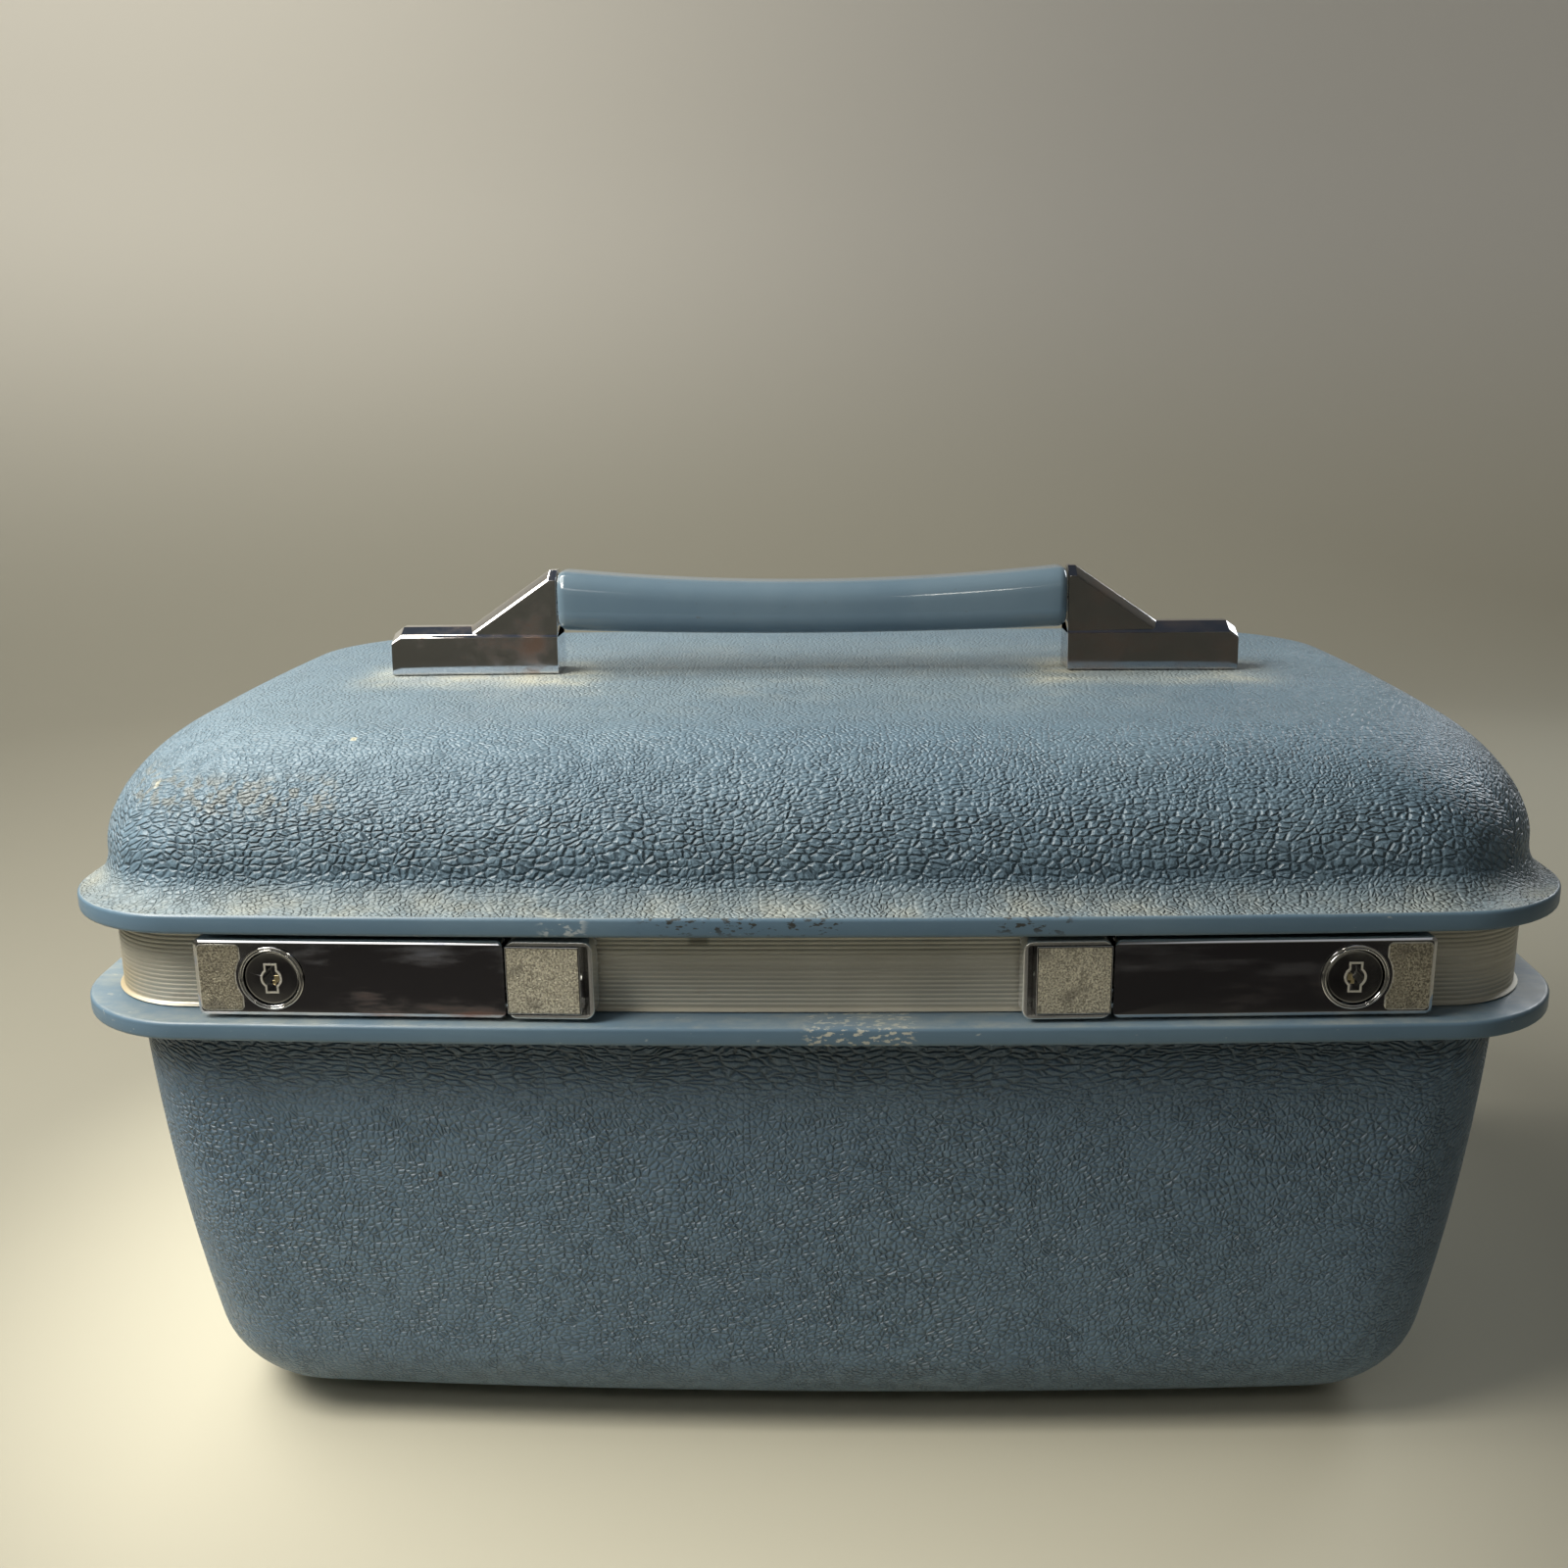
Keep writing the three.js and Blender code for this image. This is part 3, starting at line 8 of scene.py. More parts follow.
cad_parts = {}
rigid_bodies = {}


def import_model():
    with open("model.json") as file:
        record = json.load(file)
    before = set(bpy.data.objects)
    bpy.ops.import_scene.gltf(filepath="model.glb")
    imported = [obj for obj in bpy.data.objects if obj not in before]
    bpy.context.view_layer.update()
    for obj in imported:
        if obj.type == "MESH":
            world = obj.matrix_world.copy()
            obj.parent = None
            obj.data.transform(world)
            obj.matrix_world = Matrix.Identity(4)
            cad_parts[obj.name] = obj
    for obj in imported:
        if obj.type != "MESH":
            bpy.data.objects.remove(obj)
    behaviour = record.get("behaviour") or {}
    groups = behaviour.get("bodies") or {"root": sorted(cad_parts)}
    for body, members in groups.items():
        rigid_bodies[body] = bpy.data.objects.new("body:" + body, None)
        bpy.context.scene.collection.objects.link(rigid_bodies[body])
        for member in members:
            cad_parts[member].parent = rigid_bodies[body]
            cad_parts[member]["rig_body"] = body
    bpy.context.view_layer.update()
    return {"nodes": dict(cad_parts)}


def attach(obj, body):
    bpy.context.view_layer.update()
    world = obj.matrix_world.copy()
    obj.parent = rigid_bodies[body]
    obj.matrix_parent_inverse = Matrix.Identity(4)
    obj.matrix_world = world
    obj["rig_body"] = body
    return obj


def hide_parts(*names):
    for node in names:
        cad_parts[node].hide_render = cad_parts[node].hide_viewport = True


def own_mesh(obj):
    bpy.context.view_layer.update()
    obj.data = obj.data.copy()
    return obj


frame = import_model()
nodes = frame["nodes"]
scene = bpy.context.scene
scene.view_settings.view_transform = "Standard"

# Sizes in millimetres, as in the CAD model
MM = 0.001
HALF_WIDTH = 175
HALF_DEPTH = 117
FOOT_HEIGHT = 4
BODY_RIM = 116.6
LID_RIM = 137.4
LID_FLANGE_TOP = 142
LID_TOP = 176.3
LID_CROWN = 0.5
FRONT_BOW = 5.3
SIDE_BOW = 3.7
SHELL_WALL = 2.2
FLANGE_RADIUS = 29
EDGE_ROUND = 0.9
WALL_TOP = 112.2
BODY_HALF_WIDTH = 165
BODY_HALF_DEPTH = 107.2
BAND_HALF_WIDTH = 168
BAND_HALF_DEPTH = 107.4
LID_HALF_WIDTH = 171.3
LID_HALF_DEPTH = 107.6
LID_RADIUS = 30
SIDE_SHOULDER = 24
FRONT_SHOULDER = 31
SHOULDER_RISE = 26.3
SHOULDER_POWER = 1.85
LATCH_CENTRE = 92
LATCH_MIDDLE = 126.6
LATCH_END = 45.1
LATCH_HALF_HEIGHT = 9.1
LATCH_PROUD = 7
WALL_THICKNESS = 0.95
PAD_FACE = 7.2
HASP_PIN = (-4.9, -7.2)
HASP_INNER = 25.2
RIVET_CENTRE = 44.7
LOCK_CENTRE = 27.4
HOOK_WINDOW_U = (-4.1, 4.1)
HOOK_WINDOW_Z = (1.5, 6.3)
BRACKET_START = 70.7
BRACKET_END = 117.5
GRIP_HALF = 70.2
GRIP_TOP = 205.28
SIDES = ((-1, "left"), (1, "right"))


def new_object(name, data):
    obj = bpy.data.objects.new(name, data)
    scene.collection.objects.link(obj)
    return obj


# Camera
def make_camera():
    camera = new_object("camera", bpy.data.cameras.new("camera"))
    scene.camera = camera
    camera.data.sensor_width = 36
    camera.data.lens = 36
    camera.data.clip_start = 0.01
    spot = Vector((0.00615, -0.438, 0.2508))
    pitch, yaw, roll = 0.241, 0.033, -0.013
    ahead = Vector((-math.sin(yaw) * math.cos(pitch), math.cos(yaw) * math.cos(pitch), -math.sin(pitch)))
    level = Vector((math.cos(yaw), math.sin(yaw), 0))
    upright = level.cross(ahead)
    right = level * math.cos(roll) + upright * math.sin(roll)
    up = upright * math.cos(roll) - level * math.sin(roll)
    rotation = Matrix((right, up, -ahead)).transposed().to_4x4()
    camera.matrix_world = Matrix.Translation(spot) @ rotation


make_camera()


# Mesh tools
CORNER_STEPS = 14
FRONT_STEPS = 40
SIDE_STEPS = 26
SMOOTH_ANGLE = 38
CURVED = {"smooth_angle": 50, "flat_faces": False}
SOFT = {"smooth_angle": 60, "flat_faces": False}


def ring(width, depth, radius, height, bow=1.0):
    """A rounded rectangle whose sides bow outwards, in millimetres."""
    end_bow, face_bow = SIDE_BOW * bow, FRONT_BOW * bow
    flat_width, flat_depth = width - end_bow, depth - face_bow
    corners = [(1, -1, -0.5), (1, 1, 0), (-1, 1, 0.5), (-1, -1, 1)]
    plan = []
    for index, (side_x, side_y, quarter) in enumerate(corners):
        for i in range(CORNER_STEPS + 1):
            angle = (quarter + 0.5 * i / CORNER_STEPS) * math.pi
            plan.append((
                side_x * (flat_width - radius) + radius * math.cos(angle),
                side_y * (flat_depth - radius) + radius * math.sin(angle),
            ))
        next_x, next_y, _ = corners[(index + 1) % 4]
        along_front = side_y == next_y
        steps = FRONT_STEPS if along_front else SIDE_STEPS
        reach_x = flat_width - (radius if along_front else 0)
        reach_y = flat_depth - (0 if along_front else radius)
        for i in range(1, steps):
            share = i / steps
            plan.append((
                reach_x * (side_x + (next_x - side_x) * share),
                reach_y * (side_y + (next_y - side_y) * share),
            ))
    return [
        (
            x * (1 + end_bow / flat_width * (1 - (y / depth) ** 2)),
            y * (1 + face_bow / flat_depth * (1 - (x / width) ** 2)),
            height,
        )
        for x, y in plan
    ]


def loft(rings, looped=False):
    """Points and faces of a surface through rings of equal count."""
    count = len(rings[0])
    points = [point for each in rings for point in each]
    faces = []
    for r in range(len(rings) if looped else len(rings) - 1):
        after = (r + 1) % len(rings)
        for i in range(count):
            j = (i + 1) % count
            faces.append((r * count + i, r * count + j, after * count + j, after * count + i))
    if not looped:
        for r in (0, len(rings) - 1):
            centre = Vector()
            for point in rings[r]:
                centre += Vector(point) / count
            points.append(tuple(centre))
            for i in range(count):
                faces.append((len(points) - 1, r * count + i, r * count + (i + 1) % count))
    return points, faces


def prism(outline, low, high, axis):
    """An outline of pairs, drawn out along x (pairs of y, z), y (x, z) or z (x, y)."""
    place = {
        "x": lambda a, b, c: (c, a, b),
        "y": lambda a, b, c: (a, c, b),
        "z": lambda a, b, c: (a, b, c),
    }[axis]
    count = len(outline)
    points = [place(a, b, low) for a, b in outline] + [place(a, b, high) for a, b in outline]
    faces = [tuple(range(count)), tuple(range(count, 2 * count))]
    faces += [(i, (i + 1) % count, count + (i + 1) % count, count + i) for i in range(count)]
    return points, faces


def box(low, high):
    outline = [(low[0], low[1]), (high[0], low[1]), (high[0], high[1]), (low[0], high[1])]
    return prism(outline, low[2], high[2], "z")


def circle(radius, a, b, sides):
    angles = [2 * math.pi * i / sides for i in range(sides)]
    return [(a + radius * math.cos(t), b + radius * math.sin(t)) for t in angles]


def rounded(low_a, high_a, low_b, high_b, radius, steps=6):
    corners = [
        (high_a, low_b, 1, -1, -0.5),
        (high_a, high_b, 1, 1, 0),
        (low_a, high_b, -1, 1, 0.5),
        (low_a, low_b, -1, -1, 1),
    ]
    outline = []
    for a, b, side_a, side_b, quarter in corners:
        for i in range(steps + 1):
            angle = (quarter + 0.5 * i / steps) * math.pi
            outline.append((
                a - side_a * radius + radius * math.cos(angle),
                b - side_b * radius + radius * math.sin(angle),
            ))
    return outline


def turned(profile, place, sides=64, looped=True):
    """A turned body: profile pairs of radius and height, place maps (a, b, height) to a point."""
    rings = [
        [place(a, b, height) for a, b in circle(radius, 0, 0, sides)]
        for radius, height in profile
    ]
    return loft(rings, looped)


def merged(*meshes):
    points, faces = [], []
    for more_points, more_faces in meshes:
        start = len(points)
        points += more_points
        faces += [tuple(i + start for i in face) for face in more_faces]
    return points, faces


def build_mesh(name, mesh, **shape):
    points, faces = mesh
    work = bmesh.new()
    verts = [work.verts.new(Vector(point) * MM) for point in points]
    for face in faces:
        work.faces.new([verts[i] for i in face])
    bmesh.ops.remove_doubles(work, verts=work.verts, dist=1e-7)
    bmesh.ops.recalc_face_normals(work, faces=work.faces)
    finish_bmesh(work, **shape)
    return written(work, bpy.data.meshes.new(name))


def written(work, data):
    work.to_mesh(data)
    work.free()
    return data


def finish_bmesh(work, bevel=0.0, bevel_angle=35, segments=3, smooth_angle=SMOOTH_ANGLE):
    """Rounds the edges sharper than the bevel angle and marks which edges look sharp."""
    if bevel:
        least = math.radians(bevel_angle)
        edges = [e for e in work.edges if len(e.link_faces) == 2 and e.calc_face_angle(0) > least]
        bmesh.ops.bevel(
            work, geom=edges, offset=bevel * MM, segments=segments, profile=0.5,
            affect="EDGES", clamp_overlap=True, harden_normals=False,
        )
    for face in work.faces:
        face.smooth = True
    for edge in work.edges:
        edge.smooth = len(edge.link_faces) != 2 or edge.calc_face_angle(0) < math.radians(smooth_angle)


def piece(name, mesh, body, materials, replaced=(), pick=None, cutters=(), place=None,
          flat_faces=True, **shape):
    """Makes an object from points and faces, cuts it, gives it its materials and lets it ride."""
    obj = new_object(name, build_mesh(name, mesh, **shape))
    if cutters:
        tools = []
        for index, cutter in enumerate(cutters):
            tool = new_object(f"tool_{index}", build_mesh("tool", cutter))
            tools.append(tool)
            modifier = obj.modifiers.new(f"cut_{index}", "BOOLEAN")
            modifier.object = tool
            modifier.solver = "EXACT"
        bpy.context.view_layer.update()
        cut_obj = obj.evaluated_get(bpy.context.evaluated_depsgraph_get())
        result = bpy.data.meshes.new_from_object(cut_obj)
        obj.modifiers.clear()
        obj.data = result
        result.name = name
        for tool in tools:
            bpy.data.objects.remove(tool)
        work = bmesh.new()
        work.from_mesh(result)
        finish_bmesh(work, smooth_angle=shape.get("smooth_angle", SMOOTH_ANGLE))
        written(work, result)
    if place is not None:
        obj.data.transform(place)
    if not isinstance(materials, (list, tuple)):
        materials = [materials]
    obj.data.materials.clear()
    for material in materials:
        obj.data.materials.append(material)
    if pick:
        for polygon in obj.data.polygons:
            polygon.material_index = pick(polygon.center / MM, polygon.normal)
    if flat_faces:
        keep_faces_flat(obj)
    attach(obj, body)
    if replaced:
        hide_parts(*replaced)


def keep_faces_flat(obj):
    """Leaves large flat faces evenly shaded and lets the narrow bevels turn the light."""
    modifier = obj.modifiers.new("normals", "WEIGHTED_NORMAL")
    modifier.weight = 90
    modifier.keep_sharp = True


def refined(node, material, bevel):
    """A copy of a CAD node with its flat facets merged and its edges rounded."""
    source = nodes[node]
    work = bmesh.new()
    work.from_mesh(source.data)
    bmesh.ops.remove_doubles(work, verts=work.verts, dist=2e-6)
    bmesh.ops.dissolve_limit(work, angle_limit=math.radians(1.0), verts=work.verts, edges=work.edges)
    finish_bmesh(work, bevel, bevel_angle=40, segments=2, smooth_angle=42)
    data = written(work, bpy.data.meshes.new(node + "_piece"))
    data.materials.append(material)
    obj = new_object(node + "_piece", data)
    keep_faces_flat(obj)
    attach(obj, source["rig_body"])
    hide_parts(node)
    return obj


# Materials
class Shader:
    """A material's node tree, with short calls for the nodes that the looks need."""

    def __init__(self, name, color, roughness, metallic=0.0, **constants):
        self.material = bpy.data.materials.new(name)
        self.material.use_nodes = True
        self.tree = self.material.node_tree
        self.shader = self.tree.nodes["Principled BSDF"]
        self.give("Base Color", (*color, 1))
        self.give("Roughness", roughness)
        self.give("Metallic", metallic)
        for key, value in constants.items():
            self.give(key.replace("_", " "), value)
        self.coords = self.tree.nodes.new("ShaderNodeTexCoord").outputs["Object"]

    def give(self, key, value):
        self.set(self.shader, key, value)

    def set(self, node, key, value):
        socket = node.inputs[key]
        if isinstance(value, bpy.types.NodeSocket):
            self.tree.links.new(value, socket)
        else:
            socket.default_value = value

    def add(self, kind, inputs, output=0, **settings):
        node = self.tree.nodes.new("ShaderNode" + kind)
        for key, value in settings.items():
            setattr(node, key, value)
        for key, value in inputs.items():
            self.set(node, key, value)
        return node.outputs[output]

    def math(self, operation, a, b=0.0, c=0.0, clamp=False):
        return self.add("Math", {0: a, 1: b, 2: c}, operation=operation, use_clamp=clamp)

    def times(self, a, b, clamp=False):
        return self.math("MULTIPLY", a, b, clamp=clamp)

    def plus(self, a, b):
        return self.math("ADD", a, b)

    def blend(self, low, high, share):
        return self.math("MULTIPLY_ADD", self.math("SUBTRACT", high, low), share, low)

    def noise(self, scale, detail=2.0, vector=None, roughness=0.5):
        return self.add("TexNoise", {
            "Vector": vector or self.coords, "Scale": scale, "Detail": detail, "Roughness": roughness,
        })

    def span(self, value, low, high, to_low=0.0, to_high=1.0):
        """A smooth step from one value at low to another at high."""
        return self.add("MapRange", {
            "Value": value, "From Min": low, "From Max": high, "To Min": to_low, "To Max": to_high,
        }, interpolation_type="SMOOTHSTEP")

    def mix(self, factor, a, b):
        """Colour a to colour b by a factor."""
        node = self.tree.nodes.new("ShaderNodeMix")
        node.data_type = "RGBA"
        self.set(node, 0, factor)
        self.set(node, 6, a if isinstance(a, bpy.types.NodeSocket) else (*a, 1))
        self.set(node, 7, b if isinstance(b, bpy.types.NodeSocket) else (*b, 1))
        return node.outputs[2]

    def axes(self, vector=None):
        split = self.tree.nodes.new("ShaderNodeSeparateXYZ")
        self.set(split, 0, vector or self.coords)
        return tuple(split.outputs)

    def join(self, x, y, z):
        return self.add("CombineXYZ", {0: x, 1: y, 2: z})

    def vector(self, operation, a, b):
        return self.add("VectorMath", {0: a, 1: b}, operation=operation)

    def stretched(self, x, y, z):
        """Coordinates times a factor on each axis."""
        return self.vector("MULTIPLY", self.coords, (x, y, z))

    def near(self, centre, reach, soft):
        """1 inside a box round a centre and 0 outside, in metres, with soft edges."""
        found = None
        for axis, middle, half in zip(self.axes(), centre, reach):
            away = self.math("ABSOLUTE", self.math("SUBTRACT", axis, middle))
            inside = self.span(away, half, half + soft, 1.0, 0.0)
            found = inside if found is None else self.times(found, inside)
        return found

    def bump(self, height, distance, strength=1.0, after=None):
        node = self.tree.nodes.new("ShaderNodeBump")
        self.set(node, "Height", height)
        node.inputs["Strength"].default_value = strength
        node.inputs["Distance"].default_value = distance
        if after is not None:
            self.set(node, "Normal", after)
        return node.outputs[0]


SHELL_BLUE = (0.143, 0.229, 0.314)
DUST = (0.44, 0.44, 0.36)
CHROME = (0.72, 0.72, 0.73)


def centred_noise(s, scale, reach, detail):
    """A noise vector round zero, in metres, that bends a pattern."""
    drift = s.add("TexNoise", {"Vector": s.coords, "Scale": scale, "Detail": detail}, output="Color")
    drift = s.vector("SUBTRACT", drift, (0.5, 0.5, 0.5))
    return s.add("VectorMath", {0: drift, "Scale": reach}, operation="SCALE")


def skin_sheets(s, lid):
    """The shell laid out flat twice, for front and rear and for the ends, and the second's share."""
    x, y, z = s.axes()
    across, along = s.math("ABSOLUTE", x), s.math("ABSOLUTE", y)
    fold = -1.0 if lid else 1.0
    bend = centred_noise(s, 30.0, 0.010, 1.0)
    sheets = []
    for run, inward in ((x, along), (y, across)):
        flat = s.join(run, s.math("MULTIPLY_ADD", inward, fold, z), 0.0)
        sheets.append(s.vector("ADD", flat, bend))
    corner = s.math("SUBTRACT", s.math("SUBTRACT", across, along), (LID_HALF_WIDTH - LID_HALF_DEPTH) * MM)
    return sheets, s.span(corner, -0.003, 0.003)


def pebbles(s, skin, scale, stretch, warp, crown, depth_low):
    """Height of rounded pebbles from 0 in the creases to 1 on top, and the creases alone, which darken
    the shell's colour as painted shade.
    """
    sheets, share = skin
    drift = centred_noise(s, scale * 0.6, warp / scale, 2.0)
    edges = []
    for sheet in sheets:
        where = s.vector("ADD", s.vector("MULTIPLY", sheet, (*stretch, 1.0)), drift)
        edges.append(s.add("TexVoronoi", {"Vector": where, "Scale": scale},
                           feature="DISTANCE_TO_EDGE", voronoi_dimensions="2D"))
    edge = s.blend(*edges, share)
    depth = s.span(s.noise(scale * 0.4, 2.0), 0.32, 0.68, depth_low, 1.0)
    groove = s.times(s.span(edge, 0.0, crown, 1.0, 0.0), depth)
    crease_shade = s.times(s.span(edge, 0.0, crown * 0.55, 1.0, 0.0), depth)
    return s.math("SUBTRACT", 1.0, groove), crease_shade


def shell_grain(name, lid):
    """Moulded plastic with a pebbled leather grain, coarser where the wall bends to its rim."""
    s = Shader(name, SHELL_BLUE, 0.45)
    z = s.axes()[2]
    wobble = s.times(s.math("SUBTRACT", s.noise(30.0, 2.0), 0.5), 0.008)
    level = s.plus(z, wobble)
    skin = skin_sheets(s, lid)
    fine, fine_crease = pebbles(s, skin, 660.0, (1.0, 1.0), 0.55, 0.34, 0.45)
    if lid:
        coarse, coarse_crease = pebbles(s, skin, 480.0, (0.84, 1.10), 0.7, 0.30, 0.45)
        share = s.times(s.span(level, 0.157, 0.1775, 1.0, 0.0), s.span(level, 0.143, 0.150))
        calm = s.span(level, 0.168, 0.177, 1.1, 0.7)
    else:
        coarse, coarse_crease = pebbles(s, skin, 600.0, (0.42, 1.2), 0.9, 0.34, 0.6)
        share = s.span(level, 0.089, 0.102)
        calm = s.span(s.noise(25.0, 2.0), 0.3, 0.7, 1.05, 1.45)
    low = s.times(fine, calm)
    high = s.math("MULTIPLY_ADD", coarse, 1.6, s.times(fine, 0.3))
    height = s.blend(low, high, share)
    height = s.plus(height, s.times(s.noise(2600.0, 2.0), 0.10))
    s.give("Normal", s.bump(height, 0.00046, 1.0))

    # The creases darken the colour as painted shade, more in the coarse grain and most on the body below
    # the flange.
    low_crease = s.times(s.times(fine_crease, calm), 0.44)
    high_crease = s.times(coarse_crease, 0.66 if lid else 0.9)
    crease_shade = s.blend(low_crease, high_crease, share)
    cloud = s.span(s.noise(14.0, 4.0), 0.3, 0.7)
    if lid:
        base = s.mix(cloud, (0.138, 0.216, 0.288), (0.164, 0.246, 0.316))
    else:
        # The body's colours are darker and bluer than the lid's: painted shade on the body.
        base = s.mix(cloud, (0.113, 0.190, 0.285), (0.133, 0.218, 0.316))
        # Darker towards the top of the body, under the flange: painted shade of the flange's shadow.
        base = s.mix(s.span(level, 0.097, 0.109, 0.0, 0.5), base, (0.030, 0.052, 0.082))
    # Painted shade in the creases.
    base = s.mix(crease_shade, base, (0.040, 0.065, 0.090))
    patch = s.span(s.noise(60.0, 6.0, roughness=0.65), 0.40, 0.74, 0.35, 1.0)
    if lid:
        root = s.times(s.span(z, 0.1422, 0.1480, 1.0, 0.0), 0.62)
        near_feet = [s.near((x, -0.006, 0.176), (0.024, 0.012, 0.01), 0.016) for x in (0.092, -0.092)]
        feet = s.math("MAXIMUM", *near_feet)
        middle = s.near((0.0, -0.01, 0.176), (0.06, 0.02, 0.01), 0.06)
        mask = s.plus(root, s.times(feet, 0.78))
        mask = s.plus(mask, s.times(middle, 0.24))
    else:
        mask = s.span(z, 0.030, 0.004, 0.02, 0.14)
    held = s.times(mask, patch, clamp=True)
    base = s.mix(held, base, DUST)
    for centre, reach, soft, color, low, most in LID_STAINS if lid else BODY_STAINS:
        spot = s.times(s.near(centre, reach, soft), s.span(s.noise(420.0, 4.0), low, low + 0.12))
        base = s.mix(s.times(spot, most), base, color)
    s.give("Base Color", base)
    polish = s.span(s.noise(40.0, 3.0), 0.3, 0.7, 0.34, 0.43)
    s.give("Roughness", s.plus(polish, s.times(held, 0.35)))
    return s.material


def flange_plastic(name, marks):
    """Smooth satin rim with fine scratches, edge scuffs and dust on its upper side."""
    s = Shader(name, SHELL_BLUE, 0.38)
    cloud = s.span(s.noise(18.0, 4.0), 0.3, 0.7)
    base = s.mix(cloud, (0.110, 0.186, 0.264), (0.134, 0.216, 0.294))
    for centre, reach, color, scale, low in marks:
        fleck = s.span(s.noise(scale, 4.0, s.stretched(0.6, 1, 1.4)), low, low + 0.07)
        spot = s.times(s.near(centre, reach, 0.0035), fleck)
        base = s.mix(spot, base, color)
    facing = s.tree.nodes["Texture Coordinate"].outputs["Normal"]
    up = s.span(s.axes(facing)[2], 0.6, 0.95)
    patchy = s.noise(70.0, 7.0, s.stretched(0.5, 1, 1), roughness=0.75)
    dirt = s.times(up, s.span(patchy, 0.36, 0.70, 0.06, 0.50))
    base = s.mix(dirt, base, DUST)
    s.give("Base Color", base)
    scratch = s.noise(900.0, 3.0, s.stretched(0.12, 0.12, 1.0))
    s.give("Roughness", s.span(scratch, 0.3, 0.7, 0.30, 0.46))
    height = s.plus(s.noise(260.0, 3.0), s.times(scratch, 0.4))
    s.give("Normal", s.bump(height, 0.00005, 0.8))
    return s.material


def metal(name, color, low, high, scale, bump, stain, tarnish=0.3, metallic=1.0):
    """Metal with uneven polish, faint marks and a stain colour in patches."""
    s = Shader(name, color, low, metallic)
    s.give("Roughness", s.span(s.noise(scale, 5.0), 0.3, 0.7, low, high))
    patch = s.span(s.noise(scale * 0.35, 5.0, roughness=0.65), 0.5, 0.75, 0.0, tarnish)
    s.give("Base Color", s.mix(patch, color, stain))
    s.give("Normal", s.bump(s.noise(scale * 4, 3.0), bump, 0.7))
    return s.material


def smeared_chrome(name, streaks, stretch, level, soft, upper, lower, film, left, right):
    """Mirror chrome under a thin film of dirt; where the film lies its colour is a painted reflection,
    one tint above a level and another below it, and the chrome itself can be painted lighter on the left
    and darker on the right as painted light.
    """
    s = Shader(name, left, 0.04, 1.0)
    x, _, z = s.axes()
    smear = s.span(s.noise(streaks, 5.0, s.stretched(*stretch), roughness=0.6), 0.47, 0.72)
    smear = s.times(smear, s.span(x, -0.02, 0.03, 1.0, 0.35))
    # Painted reflection: one tint above the level and another below it, shown where the dirt film lies,
    # most on the left.
    painted_reflection = s.mix(s.span(z, level + soft, level - soft), upper, lower)
    # Painted light: the chrome is lighter on the left than on the right.
    painted_side_shade = s.mix(s.span(x, -0.03, 0.03), left, right)
    s.give("Base Color", s.mix(s.times(smear, 0.8), painted_side_shade, painted_reflection))
    s.give("Metallic", s.math("SUBTRACT", 1.0, s.times(smear, film)))
    s.give("Roughness", s.span(smear, 0.0, 1.0, 0.035, 0.16))
    return s.material


def pewter_pad(name, dull, bright):
    """Sand-textured cast pad with bright grains."""
    s = Shader(name, (0.42, 0.40, 0.34), 0.42, 0.6)
    grain = s.noise(2300.0, 3.0, roughness=0.7)
    pits = s.add("TexVoronoi", {"Vector": s.coords, "Scale": 2100.0})
    height = s.plus(grain, s.times(pits, 0.6))
    s.give("Normal", s.bump(height, 0.00022, 1.0))
    tone = s.mix(s.span(grain, 0.38, 0.62), dull, bright)
    worn = s.span(s.noise(180.0, 3.0), 0.55, 0.7, 0.0, 0.5)
    s.give("Base Color", s.mix(worn, tone, (0.16, 0.15, 0.13)))
    s.give("Roughness", s.span(grain, 0.3, 0.7, 0.55, 0.34))
    return s.material


def band_aluminium(name):
    """Ribbed aluminium, warm grey, with dull spots, old stains and a painted warm glint at its lower left
    corner.
    """
    s = Shader(name, (0.60, 0.58, 0.51), 0.48, 0.55)
    x, _, z = s.axes()
    lines = s.noise(260.0, 4.0, s.stretched(0.08, 0.08, 3.2))
    cloud = s.span(s.noise(20.0, 5.0, roughness=0.6), 0.35, 0.68)
    base = s.mix(cloud, (0.56, 0.54, 0.465), (0.68, 0.655, 0.575))
    base = s.mix(s.span(lines, 0.45, 0.7, 0.0, 0.2), base, (0.38, 0.36, 0.31))
    rust = s.span(s.noise(75.0, 6.0, s.stretched(0.5, 0.5, 1.6), roughness=0.7), 0.60, 0.72, 0.0, 0.3)
    base = s.mix(rust, base, (0.30, 0.17, 0.12))
    spot = s.near((-0.0243, -0.107, 0.1345), (0.0016, 0.01, 0.0014), 0.0012)
    base = s.mix(s.times(spot, 0.55), base, (0.16, 0.15, 0.115))
    # Painted highlight: a warm glint on the band's lower left corner.
    painted_warm_glint = s.times(s.span(x, -0.150, -0.164, 0.0, 1.0), s.span(z, 0.128, 0.120, 0.0, 0.6))
    base = s.mix(painted_warm_glint, base, (0.55, 0.42, 0.20))
    s.give("Base Color", base)
    polish = s.span(lines, 0.3, 0.7, 0.42, 0.58)
    s.give("Roughness", s.plus(polish, s.times(spot, 0.2)))
    s.give("Normal", s.bump(lines, 0.00004, 0.6))
    return s.material


